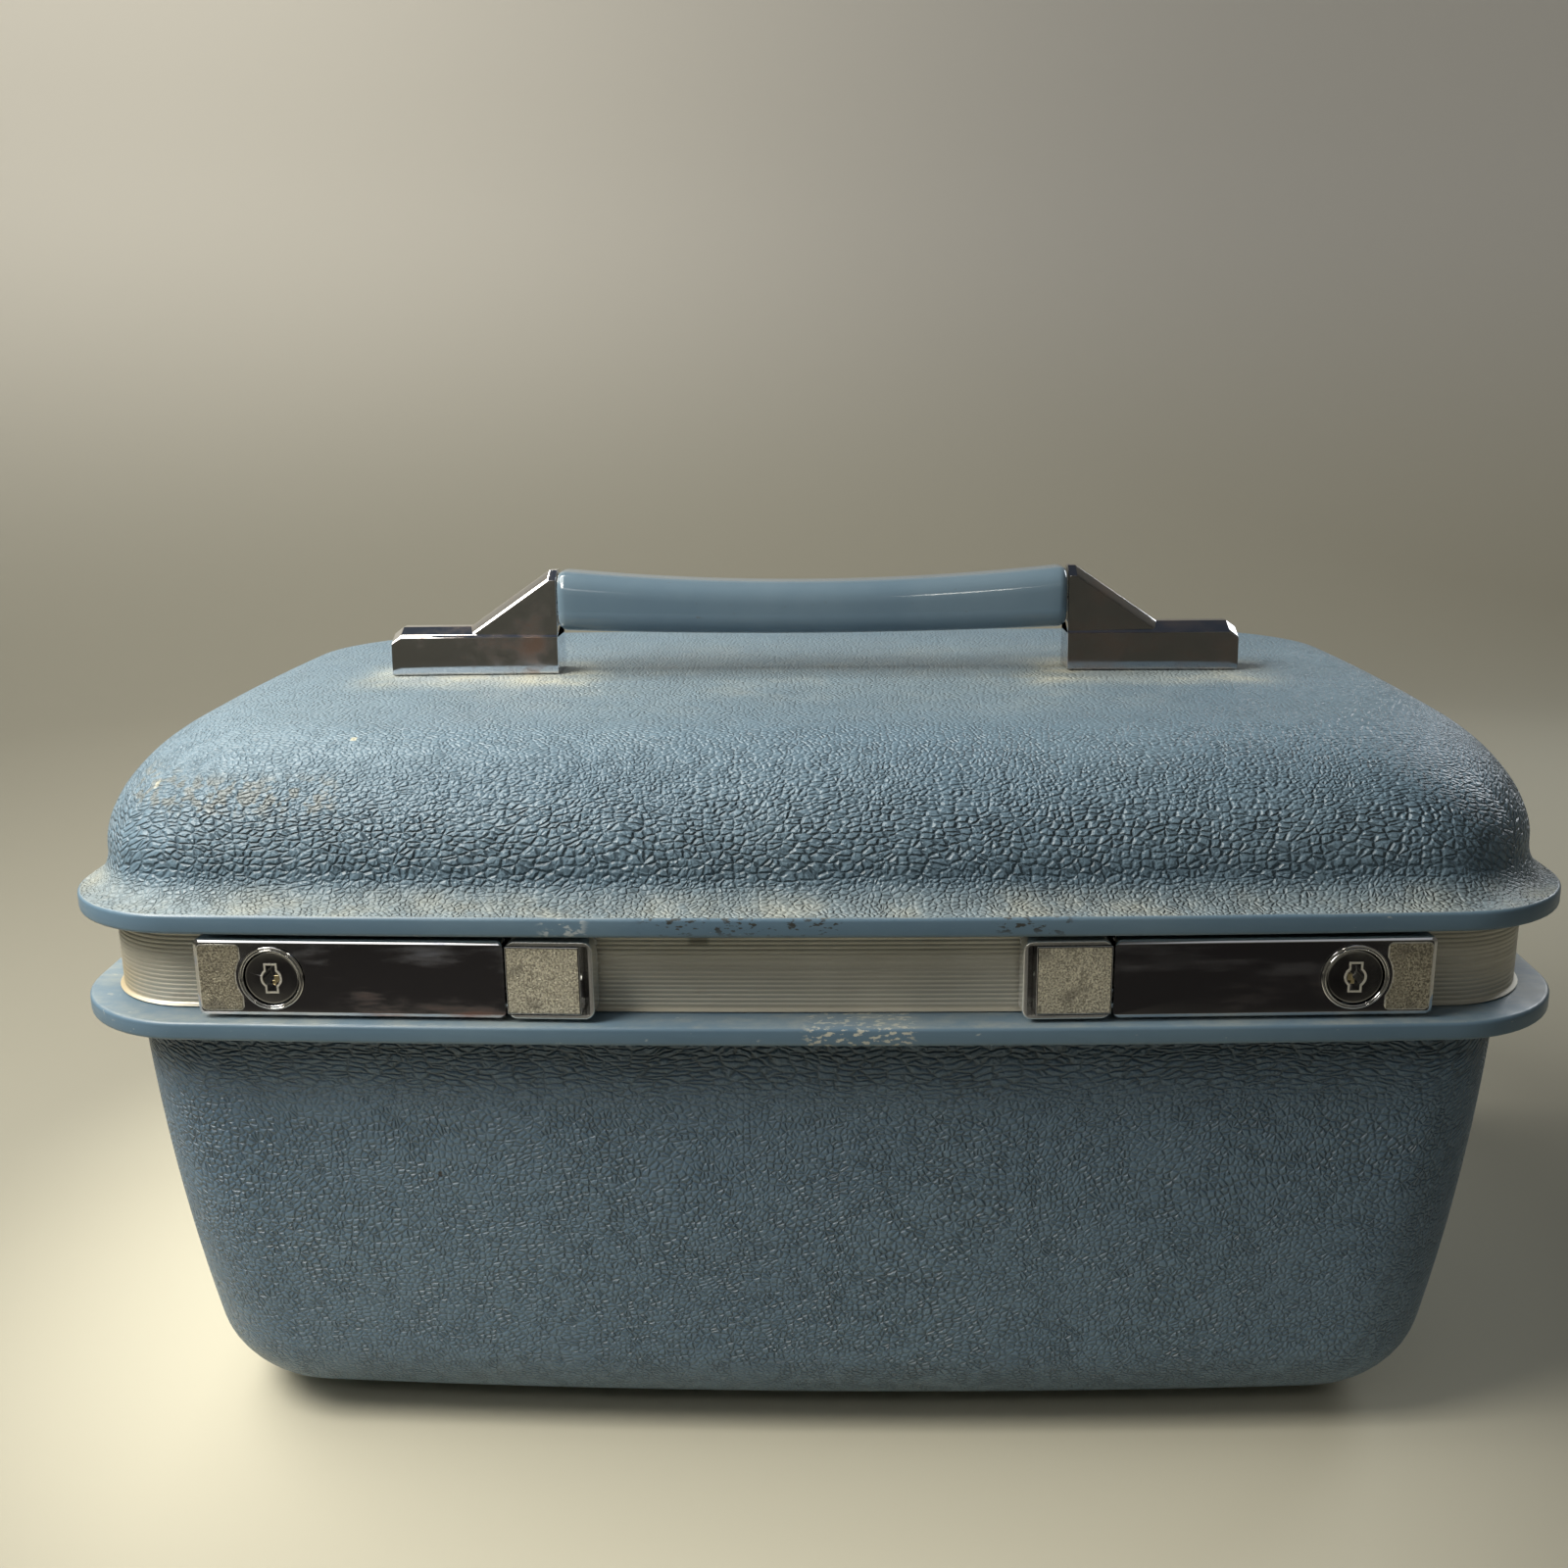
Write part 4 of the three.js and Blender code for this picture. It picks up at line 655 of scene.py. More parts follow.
def gloss_grip(name):
    s = Shader(name, (0.13, 0.21, 0.275), 0.14, Coat_Weight=0.35, Coat_Roughness=0.06)
    cloud = s.span(s.noise(26.0, 4.0), 0.3, 0.7)
    base = s.mix(cloud, (0.108, 0.166, 0.220), (0.138, 0.200, 0.252))
    speck = s.span(s.noise(420.0, 5.0, s.stretched(0.5, 1, 1), roughness=0.7), 0.66, 0.72, 0.0, 0.5)
    base = s.mix(speck, base, (0.10, 0.085, 0.06))
    s.give("Base Color", base)
    s.give("Roughness", s.span(s.noise(120.0, 5.0, s.stretched(0.3, 1, 1)), 0.35, 0.75, 0.06, 0.16))
    s.give("Normal", s.bump(s.noise(90.0, 2.0), 0.00006, 0.5))
    return s.material


def lining_cloth(name, color, dark):
    """Woven satin: fine threads both ways with a soft sheen."""
    s = Shader(name, color, 0.75, Sheen_Weight=0.35, Sheen_Roughness=0.4)
    x, y, z = s.axes()
    warp = s.math("SINE", s.times(s.plus(x, z), 7800.0))
    weft = s.math("SINE", s.times(s.plus(y, z), 7800.0))
    weave = s.times(warp, weft)
    s.give("Base Color", s.mix(s.span(s.noise(30.0, 4.0), 0.3, 0.7), color, dark))
    soft = s.noise(60.0, 3.0)
    s.give("Normal", s.bump(weave, 0.00006, 0.6, s.bump(soft, 0.0008, 0.6)))
    s.give("Roughness", s.span(weave, -1.0, 1.0, 0.66, 0.82))
    return s.material


def moulded(name, color, light, low=0.34, high=0.5, bump=0.00004, scale=300.0):
    s = Shader(name, color, low)
    s.give("Base Color", s.mix(s.span(s.noise(16.0, 4.0), 0.3, 0.7), color, light))
    s.give("Roughness", s.span(s.noise(scale * 0.2, 4.0), 0.3, 0.7, low, high))
    s.give("Normal", s.bump(s.noise(scale, 3.0), bump, 0.7))
    return s.material


def glass_mirror(name):
    silver = (0.84, 0.87, 0.87)
    s = Shader(name, silver, 0.02, 1.0)
    smear = s.span(s.noise(35.0, 5.0, roughness=0.65), 0.5, 0.75, 0.015, 0.10)
    s.give("Roughness", smear)
    film = s.span(s.noise(90.0, 5.0), 0.6, 0.8, 0.0, 0.25)
    s.give("Base Color", s.mix(film, silver, (0.6, 0.6, 0.56)))
    return s.material


LID_MARKS = [
    ((-0.014, -0.117, 0.1404), (0.020, 0.02, 0.0003), (0.045, 0.048, 0.046), 760.0, 0.55),
    ((0.049, -0.117, 0.1404), (0.006, 0.02, 0.0003), (0.050, 0.052, 0.050), 760.0, 0.56),
    ((-0.053, -0.117, 0.1395), (0.003, 0.02, 0.0015), (0.40, 0.46, 0.50), 700.0, 0.57),
    ((0.0, -0.117, 0.1395), (0.16, 0.02, 0.004), (0.32, 0.38, 0.42), 500.0, 0.70),
]
BODY_MARKS = [
    ((0.0115, -0.117, 0.1146), (0.010, 0.02, 0.0006), (0.56, 0.56, 0.49), 900.0, 0.54),
    ((0.0, -0.117, 0.114), (0.17, 0.02, 0.003), (0.34, 0.40, 0.43), 500.0, 0.70),
    ((-0.165, -0.06, 0.114), (0.02, 0.07, 0.003), (0.25, 0.30, 0.33), 440.0, 0.67),
]
LID_STAINS = [
    ((-0.132, -0.098, 0.1648), (0.024, 0.02, 0.0018), 0.0035, (0.23, 0.215, 0.165), 0.46, 0.45),
    ((-0.106, -0.083, 0.175), (0.0004, 0.0005, 0.01), 0.0005, (0.60, 0.58, 0.45), 0.20, 0.9),
    ((-0.151, -0.089, 0.169), (0.0003, 0.0007, 0.01), 0.0006, (0.55, 0.54, 0.44), 0.20, 0.7),
]
BODY_STAINS = [
    ((-0.087, -0.104, 0.0745), (0.0002, 0.01, 0.0005), 0.0005, (0.02, 0.02, 0.025), 0.10, 0.95),
]
grain_body = shell_grain("shell_grain_body", False)
grain_lid = shell_grain("shell_grain_lid", True)
rim_lid = flange_plastic("rim_lid", LID_MARKS)
rim_body = flange_plastic("rim_body", BODY_MARKS)
inside_plastic = moulded("shell_inside", (0.14, 0.21, 0.27), (0.16, 0.24, 0.30), 0.5, 0.62)
band_metal = band_aluminium("band_aluminium")
chrome = metal("chrome", CHROME, 0.035, 0.11, 70.0, 0.000004, (0.33, 0.29, 0.24), tarnish=0.35)
# Hasp chrome: the bluish upper and brown lower tints are painted reflections.
chrome_hasp = smeared_chrome(
    "chrome_hasp", streaks=190.0, stretch=(0.2, 1, 1), level=0.1265, soft=0.002,
    upper=(0.40, 0.44, 0.58), lower=(0.50, 0.20, 0.12), film=0.24, left=CHROME, right=CHROME,
)
# Bracket chrome: the brown tints are painted reflections, and the left bracket's chrome is painted
# lighter and the right's darker as painted light.
chrome_bracket = smeared_chrome(
    "chrome_bracket", streaks=75.0, stretch=(1, 1, 1.4), level=0.19, soft=0.03,
    upper=(0.46, 0.26, 0.16), lower=(0.42, 0.22, 0.14), film=0.10,
    left=(0.84, 0.84, 0.86), right=(0.42, 0.42, 0.43),
)
ward_brass = metal("ward_brass", (0.78, 0.66, 0.40), 0.25, 0.4, 260.0, 0.00001, (0.3, 0.25, 0.14))
# Pale half-metal for the pad rim and keyhole lips; on the pad rim its light colour paints the bright line
# round the pad, a painted highlight.
bright_edge = metal(
    "bright_edge", (0.86, 0.84, 0.76), 0.22, 0.36, 260.0, 0.00001, (0.5, 0.46, 0.36), metallic=0.5,
)
chrome_wall = metal(
    "chrome_wall", (0.78, 0.78, 0.76), 0.12, 0.22, 120.0, 0.000004, (0.4, 0.36, 0.3), metallic=0.75,
)
chrome_plug = metal("chrome_plug", (0.45, 0.45, 0.46), 0.06, 0.16, 160.0, 0.000004, (0.2, 0.18, 0.15))
pewter = pewter_pad("pewter_pad", (0.30, 0.28, 0.225), (0.84, 0.80, 0.67))
pewter_dull = pewter_pad("pewter_dull", (0.17, 0.155, 0.12), (0.56, 0.52, 0.41))
steel = metal("steel", (0.50, 0.50, 0.50), 0.24, 0.40, 220.0, 0.00002, (0.30, 0.28, 0.25))
rivet_metal = metal(
    "rivet_brass", (0.36, 0.30, 0.16), 0.34, 0.55, 260.0, 0.00003, (0.16, 0.15, 0.09), tarnish=0.7,
)
grip_plastic = gloss_grip("grip_gloss")
rubber = moulded("rubber", (0.018, 0.018, 0.019), (0.035, 0.034, 0.033), 0.6, 0.8, 0.00008, 500.0)
cloth = lining_cloth("lining_cloth", (0.40, 0.48, 0.54), (0.34, 0.42, 0.48))
mirror_glass = glass_mirror("mirror_glass")
tray_plastic = moulded("tray_plastic", (0.34, 0.41, 0.455), (0.38, 0.45, 0.49), 0.32, 0.46)


# Shells
def arc(steps):
    return [math.pi / 2 * i / steps for i in range(steps + 1)]


def body_ring(height, inset):
    fall = max(0.0, (WALL_TOP - height) / (WALL_TOP - FOOT_HEIGHT))
    radius = 22 + 5 * fall
    taper = 11 * (0.27 * fall + 0.73 * fall * fall)
    width = BODY_HALF_WIDTH - taper - inset
    depth = BODY_HALF_DEPTH - 0.8 * taper - inset
    return ring(width, depth, radius - min(inset, radius / 2), height)


def body_skin(depth_in, top):
    floor = FOOT_HEIGHT + depth_in
    radius = 20 - depth_in
    rings = []
    for share in (0.02, 0.2, 0.5, 0.8):
        low = body_ring(floor, depth_in + radius)
        rings.append([(x * share, y * share, floor) for x, y, _ in low])
    for angle in arc(12):
        height = floor + radius * (1 - math.cos(angle))
        rings.append(body_ring(height, depth_in + radius * (1 - math.sin(angle))))
    start = floor + radius
    rings += [body_ring(start + (top - start) * i / 20, depth_in) for i in range(1, 21)]
    return rings


def flange_ring(overhang, height):
    return ring(HALF_WIDTH - overhang, HALF_DEPTH - overhang, FLANGE_RADIUS - overhang, height)


def flange_edge(low, high, upward):
    """The rounded rim between two heights, walked from the lower side up or the other way."""
    rings = [
        flange_ring(EDGE_ROUND * (1 - math.sin(a)), low + EDGE_ROUND * (1 - math.cos(a))) for a in arc(4)
    ] + [
        flange_ring(EDGE_ROUND * (1 - math.cos(a)), high - EDGE_ROUND * (1 - math.sin(a))) for a in arc(4)
    ]
    return rings if upward else rings[::-1]


def body_shell_mesh():
    root = 3
    rings = body_skin(0, WALL_TOP - root)
    for angle in arc(6)[1:]:
        rings.append(body_ring(WALL_TOP - root + root * math.sin(angle), -root * (1 - math.cos(angle))))
    rings += flange_edge(WALL_TOP, BODY_RIM, True)
    rings += body_skin(SHELL_WALL, BODY_RIM)[::-1]
    return loft(rings)


def lid_ring(out_side, out_front, height, side_inset=0.0, front_inset=0.0):
    width = LID_HALF_WIDTH + out_side - side_inset
    depth = LID_HALF_DEPTH + out_front - front_inset
    radius = LID_RADIUS + out_side / 2 + front_inset * 0.25
    return ring(width, depth, radius, height)


def lid_skin(depth_in, top_drop, foot, crown):
    top = LID_TOP - top_drop
    rise, side, front = SHOULDER_RISE - depth_in, SIDE_SHOULDER - depth_in, FRONT_SHOULDER - depth_in
    rings = []
    for share in (0.03, 0.15, 0.3, 0.45, 0.6, 0.75, 0.9):
        radius = (LID_RADIUS - depth_in / 2 + front * 0.25) * share
        rings.append(ring(
            (LID_HALF_WIDTH - depth_in - side) * share, (LID_HALF_DEPTH - depth_in - front) * share,
            radius, top + crown * (1 - share * share), share,
        ))
    for i in range(29):
        angle = (1 - i / 28) * math.pi / 2
        inward = 1 - max(math.cos(angle), 0) ** (2 / SHOULDER_POWER)
        upward = math.sin(angle) ** (2 / SHOULDER_POWER)
        height = top - rise + rise * upward
        rings.append(lid_ring(-depth_in, -depth_in, height, side * inward, front * inward))
    start = top - rise
    rings += [lid_ring(-depth_in, -depth_in, start + (foot - start) * i / 3) for i in range(1, 4)]
    return rings


def lid_shell_mesh():
    fillet = 7
    foot = LID_FLANGE_TOP + fillet
    reach_side = HALF_WIDTH - EDGE_ROUND - LID_HALF_WIDTH
    reach_front = HALF_DEPTH - EDGE_ROUND - LID_HALF_DEPTH
    rings = lid_skin(0, 0, foot, LID_CROWN)
    for angle in arc(9)[1:-1]:
        grown = 1 - math.cos(angle)
        rings.append(lid_ring(reach_side * grown, reach_front * grown, foot - fillet * math.sin(angle)))
    rings += flange_edge(LID_RIM, LID_FLANGE_TOP, False)
    rings.append(lid_ring(-SHELL_WALL, -SHELL_WALL, LID_RIM))
    rings += lid_skin(SHELL_WALL, SHELL_WALL, foot, LID_CROWN)[::-1]
    return loft(rings)


def pick_body(centre, normal):
    """0 for grain, 1 for the smooth rim, 2 for the inside."""
    if centre.z > WALL_TOP - 0.05:
        return 1
    outside = normal.x * centre.x + normal.y * centre.y > 0 or normal.z < -0.9
    return 0 if outside else 2


def pick_lid(centre, normal):
    if centre.z < LID_FLANGE_TOP - 0.05 and (abs(centre.x) > 150 or abs(centre.y) > 95):
        return 1
    outside = normal.x * centre.x + normal.y * centre.y + 60 * normal.z > 0
    return 0 if outside else 2


piece(
    "shell_body", body_shell_mesh(), "case_body", [grain_body, rim_body, inside_plastic],
    ["body_shell"], pick_body, **CURVED,
)
piece(
    "shell_lid", lid_shell_mesh(), "lid", [grain_lid, rim_lid, inside_plastic],
    ["lid_shell"], pick_lid, **CURVED,
)


# Band
def band_face_at(x):
    return BAND_HALF_DEPTH - FRONT_BOW * (x / BAND_HALF_WIDTH) ** 2


def latch_matrix(side):
    angle = math.atan(2 * FRONT_BOW * LATCH_CENTRE / BAND_HALF_WIDTH ** 2)
    spot = Vector((side * LATCH_CENTRE, -band_face_at(LATCH_CENTRE), LATCH_MIDDLE)) * MM
    return Matrix.Translation(spot) @ Matrix.Rotation(side * angle, 4, "Z")


def latch_box(side, u, out, z):
    ends = sorted((side * u[0], side * u[1]))
    return box((ends[0], -out[1], z[0]), (ends[1], -out[0], z[1]))


def moved(mesh, matrix):
    points, faces = mesh
    return [tuple((matrix @ (Vector(p) * MM)) / MM) for p in points], faces


def band_mesh():
    shelf, top, bottom = BODY_RIM + 0.3, LID_RIM - 0.3, BODY_RIM - 10.6

    def outer(offset, height):
        return ring(BAND_HALF_WIDTH + offset, BAND_HALF_DEPTH + offset, 20.5 + offset, height)

    def skirt(offset, height):
        inset = SHELL_WALL + 0.9 + offset
        return ring(BODY_HALF_WIDTH - inset, BODY_HALF_DEPTH - inset, 22 - inset, height)

    rings = [
        skirt(0, bottom), skirt(0, shelf), outer(0.75, shelf),
        outer(0.9, shelf + 0.1), outer(0.75, shelf + 0.25), outer(0, shelf + 0.45),
    ]
    low, high, ribs = shelf + 0.75, top - 0.35, 18
    pitch = (high - low) / ribs
    for i in range(ribs):
        z = low + i * pitch
        rings += [
            outer(-0.14, z), outer(-0.14, z + 0.22 * pitch), outer(-0.02, z + 0.36 * pitch),
            outer(0, z + 0.5 * pitch), outer(0, z + 0.74 * pitch), outer(-0.02, z + 0.88 * pitch),
        ]
    rings += [outer(-0.02, top - 0.15), outer(-0.15, top), outer(-1.5, top), outer(-1.5, shelf + 1.5)]
    rings += [skirt(1.2, shelf + 1.5), skirt(1.2, bottom)]
    return loft(rings, True)


windows = [
    moved(latch_box(side, HOOK_WINDOW_U, (-9.2, 3.5), HOOK_WINDOW_Z), latch_matrix(side))
    for side, _ in SIDES
]
piece("band", band_mesh(), "case_body", band_metal, ["body_frame"], cutters=windows, **CURVED)


# Latches
def sand_pad(outline_test, u_range, z_range, side):
    """A sheet of small faces, rough like a cast pad, as far as the outline test lets it reach."""
    step = 0.33
    columns = int((u_range[1] - u_range[0]) / step)
    rows = int((z_range[1] - z_range[0]) / step)
    points, faces, index = [], [], {}

    def spot(i, j):
        u = u_range[0] + (u_range[1] - u_range[0]) * i / columns
        z = z_range[0] + (z_range[1] - z_range[0]) * j / rows
        return u, z

    def point(i, j):
        if (i, j) not in index:
            u, z = spot(i, j)
            rough = noise.noise(Vector((u * 2.3, z * 2.3, 3.1))) * 0.05
            rough += noise.noise(Vector((u * 5.1, z * 5.1, 7.7))) * 0.03
            index[i, j] = len(points)
            points.append((side * u, -(PAD_FACE + rough), z))
        return index[i, j]

    for i in range(columns):
        for j in range(rows):
            if outline_test(*spot(i + 0.5, j + 0.5)):
                faces.append((point(i, j), point(i + 1, j), point(i + 1, j + 1), point(i, j + 1)))
    return points, faces


def solid_pad(mesh, back):
    """Closes a sheet of faces with walls down to a flat back."""
    points, faces = mesh
    count = len(points)
    edges = dict.fromkeys(edge for face in faces for edge in zip(face, face[1:] + face[:1]))
    border = [(a, b) for a, b in edges if (b, a) not in edges]
    points = points + [(x, back, z) for x, _, z in points]
    faces = faces + [tuple(i + count for i in reversed(face)) for face in faces]
    faces += [(b, a, a + count, b + count) for a, b in border]
    return points, faces


def outer_pad_test(u, z):
    """True on the hasp's pad, which ends round the lock and has two rounded corners."""
    round_lock, corner_u, corner_z, radius = 8.5, 42.9, 6.5, 1.0
    past_u, past_z = u - corner_u, abs(z) - corner_z
    past_corner = min(past_u, past_z) > 0 and math.hypot(past_u, past_z) > radius
    return math.hypot(u - LOCK_CENTRE, z) >= round_lock and not past_corner


def make_latch(side, word):
    place = latch_matrix(side)
    half = LATCH_HALF_HEIGHT

    def face_prism(outline, low, high):
        return prism([(side * u, z) for u, z in outline], -high, -low, "y")

    def lock_disc(radius, sides, low, high):
        return prism(circle(radius, side * LOCK_CENTRE, 0, sides), -high, -low, "y")

    def knuckle(u, out, z):
        """A rolled eye round the hasp's pin and the block that carries it."""
        eye = prism(circle(1.0, *HASP_PIN, 24), side * u - 1.4, side * u + 1.4, "x")
        return [eye, latch_box(side, (u - 1.4, u + 1.4), out, z)]

    def fit(name, mesh, body, material, replaced=None, **shape):
        """A piece in the latch's place; one named like its CAD node gets _piece behind its name."""
        full_name = f"{name}_{word}" + ("_piece" if name == replaced else "")
        stands_for = [f"{replaced}_{word}"] if replaced else ()
        piece(full_name, mesh, body, material, stands_for, place=place, **shape)

    # Base: plate, walls round the button and knuckles
    body = "case_body"
    window = latch_box(side, HOOK_WINDOW_U, (-1, 3.5), HOOK_WINDOW_Z)
    plate = face_prism(rounded(-LATCH_END, LATCH_END, -half, half, 1.8), 0.3, 1.7)
    fit("latch_plate", plate, body, chrome, "latch_base", cutters=[window], bevel=0.3)
    wall = face_prism(rounded(-LATCH_END, -HASP_INNER - 0.4, -half, half, 2.2, 8), 1.6, LATCH_PROUD)
    inner = half - WALL_THICKNESS
    inside = rounded(-LATCH_END + WALL_THICKNESS, -HASP_INNER + 6, -inner, inner, 0.45, 8)
    space = face_prism(inside, 1.7, 2 * LATCH_PROUD)
    fit("latch_wall", wall, body, chrome_wall, cutters=[space], bevel=0.42, segments=4)
    knuckles = []
    for u in (40.1, 12, -19):
        knuckles += knuckle(u, (1.6, 4.9), (-7.7, -6.25))
    ear = prism(circle(2.5, side * RIVET_CENTRE, -2, 40), -1.7, -0.3, "y")
    fit("latch_knuckles", merged(*knuckles, ear), body, chrome, bevel=0.12, segments=2)
    rivet_profile = [
        (0.01, 2.95), (0.9, 2.9), (1.7, 2.7), (2.15, 2.35),
        (2.2, 2.0), (1.2, 2.0), (1.2, -2.2), (0.01, -2.2),
    ]
    rivet = turned(rivet_profile, lambda a, b, h: (side * RIVET_CENTRE + a, -h, -2 + b), 40, False)
    fit("latch_rivet", rivet, body, rivet_metal, "latch_rivet")

    # Hasp: a pan with bevelled edges, pad, hook and knuckles
    body = f"hasp_{word}"
    shrink = [(0.0, 3.4), (0.0, 6.3), (0.08, 6.46), (0.84, 6.94), (1.0, 7.0)]
    rings = []
    for inset, out in shrink:
        edge = half - inset
        section = rounded(-HASP_INNER, LATCH_END - inset, -edge, edge, max(1.6 - inset, 0.5))
        rings.append([(side * u, -out, z) for u, z in section])
    pan = loft(rings)
    hollow = latch_box(side, (-HASP_INNER - 1, LATCH_END - 0.9), (0, 6.2), (-half + 0.8, half - 0.8))
    under = latch_box(side, (-HASP_INNER - 1, LATCH_END + 1), (0, 5.2), (-half - 1, -half + 1.2))
    cutters = [hollow, under, lock_disc(7.1, 64, 1, 10)]
    fit("hasp_pan", pan, body, chrome_hasp, "hasp", cutters=cutters, smooth_angle=30)
    parts = [latch_box(side, (-3.5, 3.5), (-2.2, 6.4), (2, 4))]
    for u in (36.9, 15.2, 8.8, -15.8):
        parts += knuckle(u, (4.9, 6.4), (-8.15, -6.25))
    fit("hasp_hook", merged(*parts), body, steel, bevel=0.2, segments=2)
    pad = solid_pad(sand_pad(outer_pad_test, (34.6, 43.9), (-7.5, 7.5), side), -6.6)
    fit("hasp_pad", pad, body, pewter_dull, **SOFT)
    # The pad's rim, whose pale colour is a painted highlight round the pad.
    rim = face_prism(rounded(34.25, 44.2, -7.85, 7.85, 1.3), 6.7, 7.07)
    cutters = [lock_disc(8.2, 64, 1, 10)]
    fit("hasp_pad_rim", rim, body, bright_edge, cutters=cutters, bevel=0.08, segments=2)

    # Lock ring, plug and keyhole
    def seat(a, b, h):
        return (side * LOCK_CENTRE + a, -h, b)

    ring_profile = [
        (6.4, 5.8), (6.4, 7.48), (6.48, 7.58), (6.62, 7.6), (6.72, 7.54), (6.78, 7.42), (6.92, 7.42),
        (7.0, 7.52), (7.1, 7.58), (7.25, 7.56), (7.38, 7.46), (7.4, 7.3), (6.8, 7.3), (6.8, 5.8),
    ]
    lock_ring = turned(ring_profile, seat, 96)
    fit("lock_ring", lock_ring, body, chrome, "lock_ring", smooth_angle=45)
    body = f"key_{word}"
    keyhole = lock_disc(2.0, 48, 4.9, 10)
    slot = latch_box(side, (LOCK_CENTRE - 1.1, LOCK_CENTRE + 1.1), (4.9, 10), (-3.1, 3.1))
    plug_profile = [(0.01, 3), (6.15, 3), (6.15, 6.95), (5.95, 7.2), (5.6, 7.26), (0.01, 7.3)]
    plug = turned(plug_profile, seat, 96, False)
    cutters = [keyhole, slot]
    fit("key_plug", plug, body, chrome_plug, "key_plug", cutters=cutters, smooth_angle=30)
    lip_round = lock_disc(2.45, 48, 7.2, 7.45)
    lip_slot = latch_box(side, (LOCK_CENTRE - 1.5, LOCK_CENTRE + 1.5), (7.2, 7.44), (-3.5, 3.5))
    fit("keyhole_lip_round", lip_round, body, bright_edge, cutters=cutters)
    fit("keyhole_lip_slot", lip_slot, body, bright_edge, cutters=cutters)
    wards = merged(
        latch_box(side, (LOCK_CENTRE - 1.5, LOCK_CENTRE - 0.35), (4.9, 6.6), (-1.0, 0.5)),
        latch_box(side, (LOCK_CENTRE - 0.6, LOCK_CENTRE + 0.3), (4.9, 6.2), (-2.0, -0.8)),
    )
    fit("key_wards", wards, body, ward_brass, bevel=0.15)

    # Release button
    body = f"button_{word}"
    block = latch_box(side, (-42.2, -25.6), (2.3, 7.12), (-7.9, 7.9))
    fit("button_block", block, body, chrome, "release_button", bevel=0.22)
    nose = latch_box(side, (-29, -21.6), (2.3, 3.3), (-3, 3))
    fit("button_nose", nose, body, steel, bevel=0.15)
    pad = solid_pad(sand_pad(lambda u, z: True, (-41.85, -25.95), (-7.55, 7.55), side), -6.9)
    fit("button_pad", pad, body, pewter, **SOFT)


for latch_side, latch_word in SIDES:
    make_latch(latch_side, latch_word)


# Handle
def lid_surface_at(x):
    share = abs(x) / (LID_HALF_WIDTH - SIDE_SHOULDER)
    return LID_TOP + LID_CROWN * (1 - share * share)


def bracket_part(name, side, stations, section, replaced=()):
    rings = [[(side * x, y, z) for y, z in section(x, top)] for x, top in stations]
    points, faces = loft(rings)
    count = len(rings[0])
    solid = len(rings) * count
    keep = [face for face in faces if max(face) < solid]
    keep += [tuple(range(count)), tuple(range(solid - count, solid))]
    piece(
        name, (points[:solid], keep), "lid", chrome_bracket, replaced,
        bevel=0.2, bevel_angle=12, smooth_angle=14,
    )


def mirrored(half):
    """A section closed by the mirror image of its front half."""
    return half + [(-y, z) for y, z in reversed(half)]


def make_bracket(side, word):
    gap = 0.3
    base = lid_surface_at(BRACKET_START) + gap
    shoulder, apex = base + 10.8, base + 26.4

    def block(x, top):
        low = lid_surface_at(x) + gap
        return mirrored([
            (-7, low), (-6.95, low + 0.3), (-6.35, top - 0.7), (-5.5, top), (-1.6, top + 1.9),
        ])

    def ramp(x, top):
        return mirrored([(-5.7, shoulder - 1), (-5.1, top - 0.65), (-4.4, top), (-1.6, top + 1.9)])

    blocks = ((BRACKET_START, shoulder), (BRACKET_END - 2.6, shoulder), (BRACKET_END, shoulder - 1.9))
    bracket_part(f"bracket_{word}", side, blocks, block, [f"handle_bracket_{word}"])
    ramps = ((BRACKET_START, apex), (BRACKET_START + 2.2, apex), (BRACKET_START + 25, shoulder))
    bracket_part(f"bracket_ramp_{word}", side, ramps, ramp)


for bracket_side, bracket_word in SIDES:
    make_bracket(bracket_side, bracket_word)


def grip_section(x, trim):
    """The grip's section at x, drawn in by a trim where its ends are rounded."""
    sag = 1 - (x / GRIP_HALF) ** 2
    top = GRIP_TOP - 3.6 * sag - trim / 2
    bottom = GRIP_TOP - 16.6 - 1.4 * sag + trim / 2
    half = 9 - trim
    return [(x, y, z) for y, z in rounded(-half, half, bottom, top, 6 - trim / 2, 10)]


def make_grip():
    end, steps = 2.5, 48
    ends = [(GRIP_HALF - end * (1 - math.cos(a)), end * (1 - math.sin(a))) for a in arc(6)]
    rings = [grip_section(-x, trim) for x, trim in ends]
    rings += [grip_section((GRIP_HALF - end) * (2 * i / steps - 1), 0) for i in range(1, steps)]
    rings += [grip_section(x, trim) for x, trim in reversed(ends)]
    piece("grip", loft(rings), "lid", grip_plastic, ["handle_grip"], **CURVED)


make_grip()


# Inside
def lining_pieces():
    outside, thick = SHELL_WALL + 0.3, 1.4
    top = BODY_RIM - 11.8
    rings = body_skin(outside, top) + body_skin(outside + thick, top)[::-1]
    piece("lining_body", loft(rings), "case_body", cloth, ["body_lining"], **SOFT)
    outside, thick = 7.6, 1.2
    foot = LID_RIM + 11.3
    drop = SHELL_WALL + 3.6
    rings = lid_skin(outside, drop, foot, 0) + lid_skin(outside + thick, drop + thick, foot, 0)[::-1]
    piece("lining_lid", loft(rings), "lid", cloth, ["lid_lining"], **SOFT)


lining_pieces()


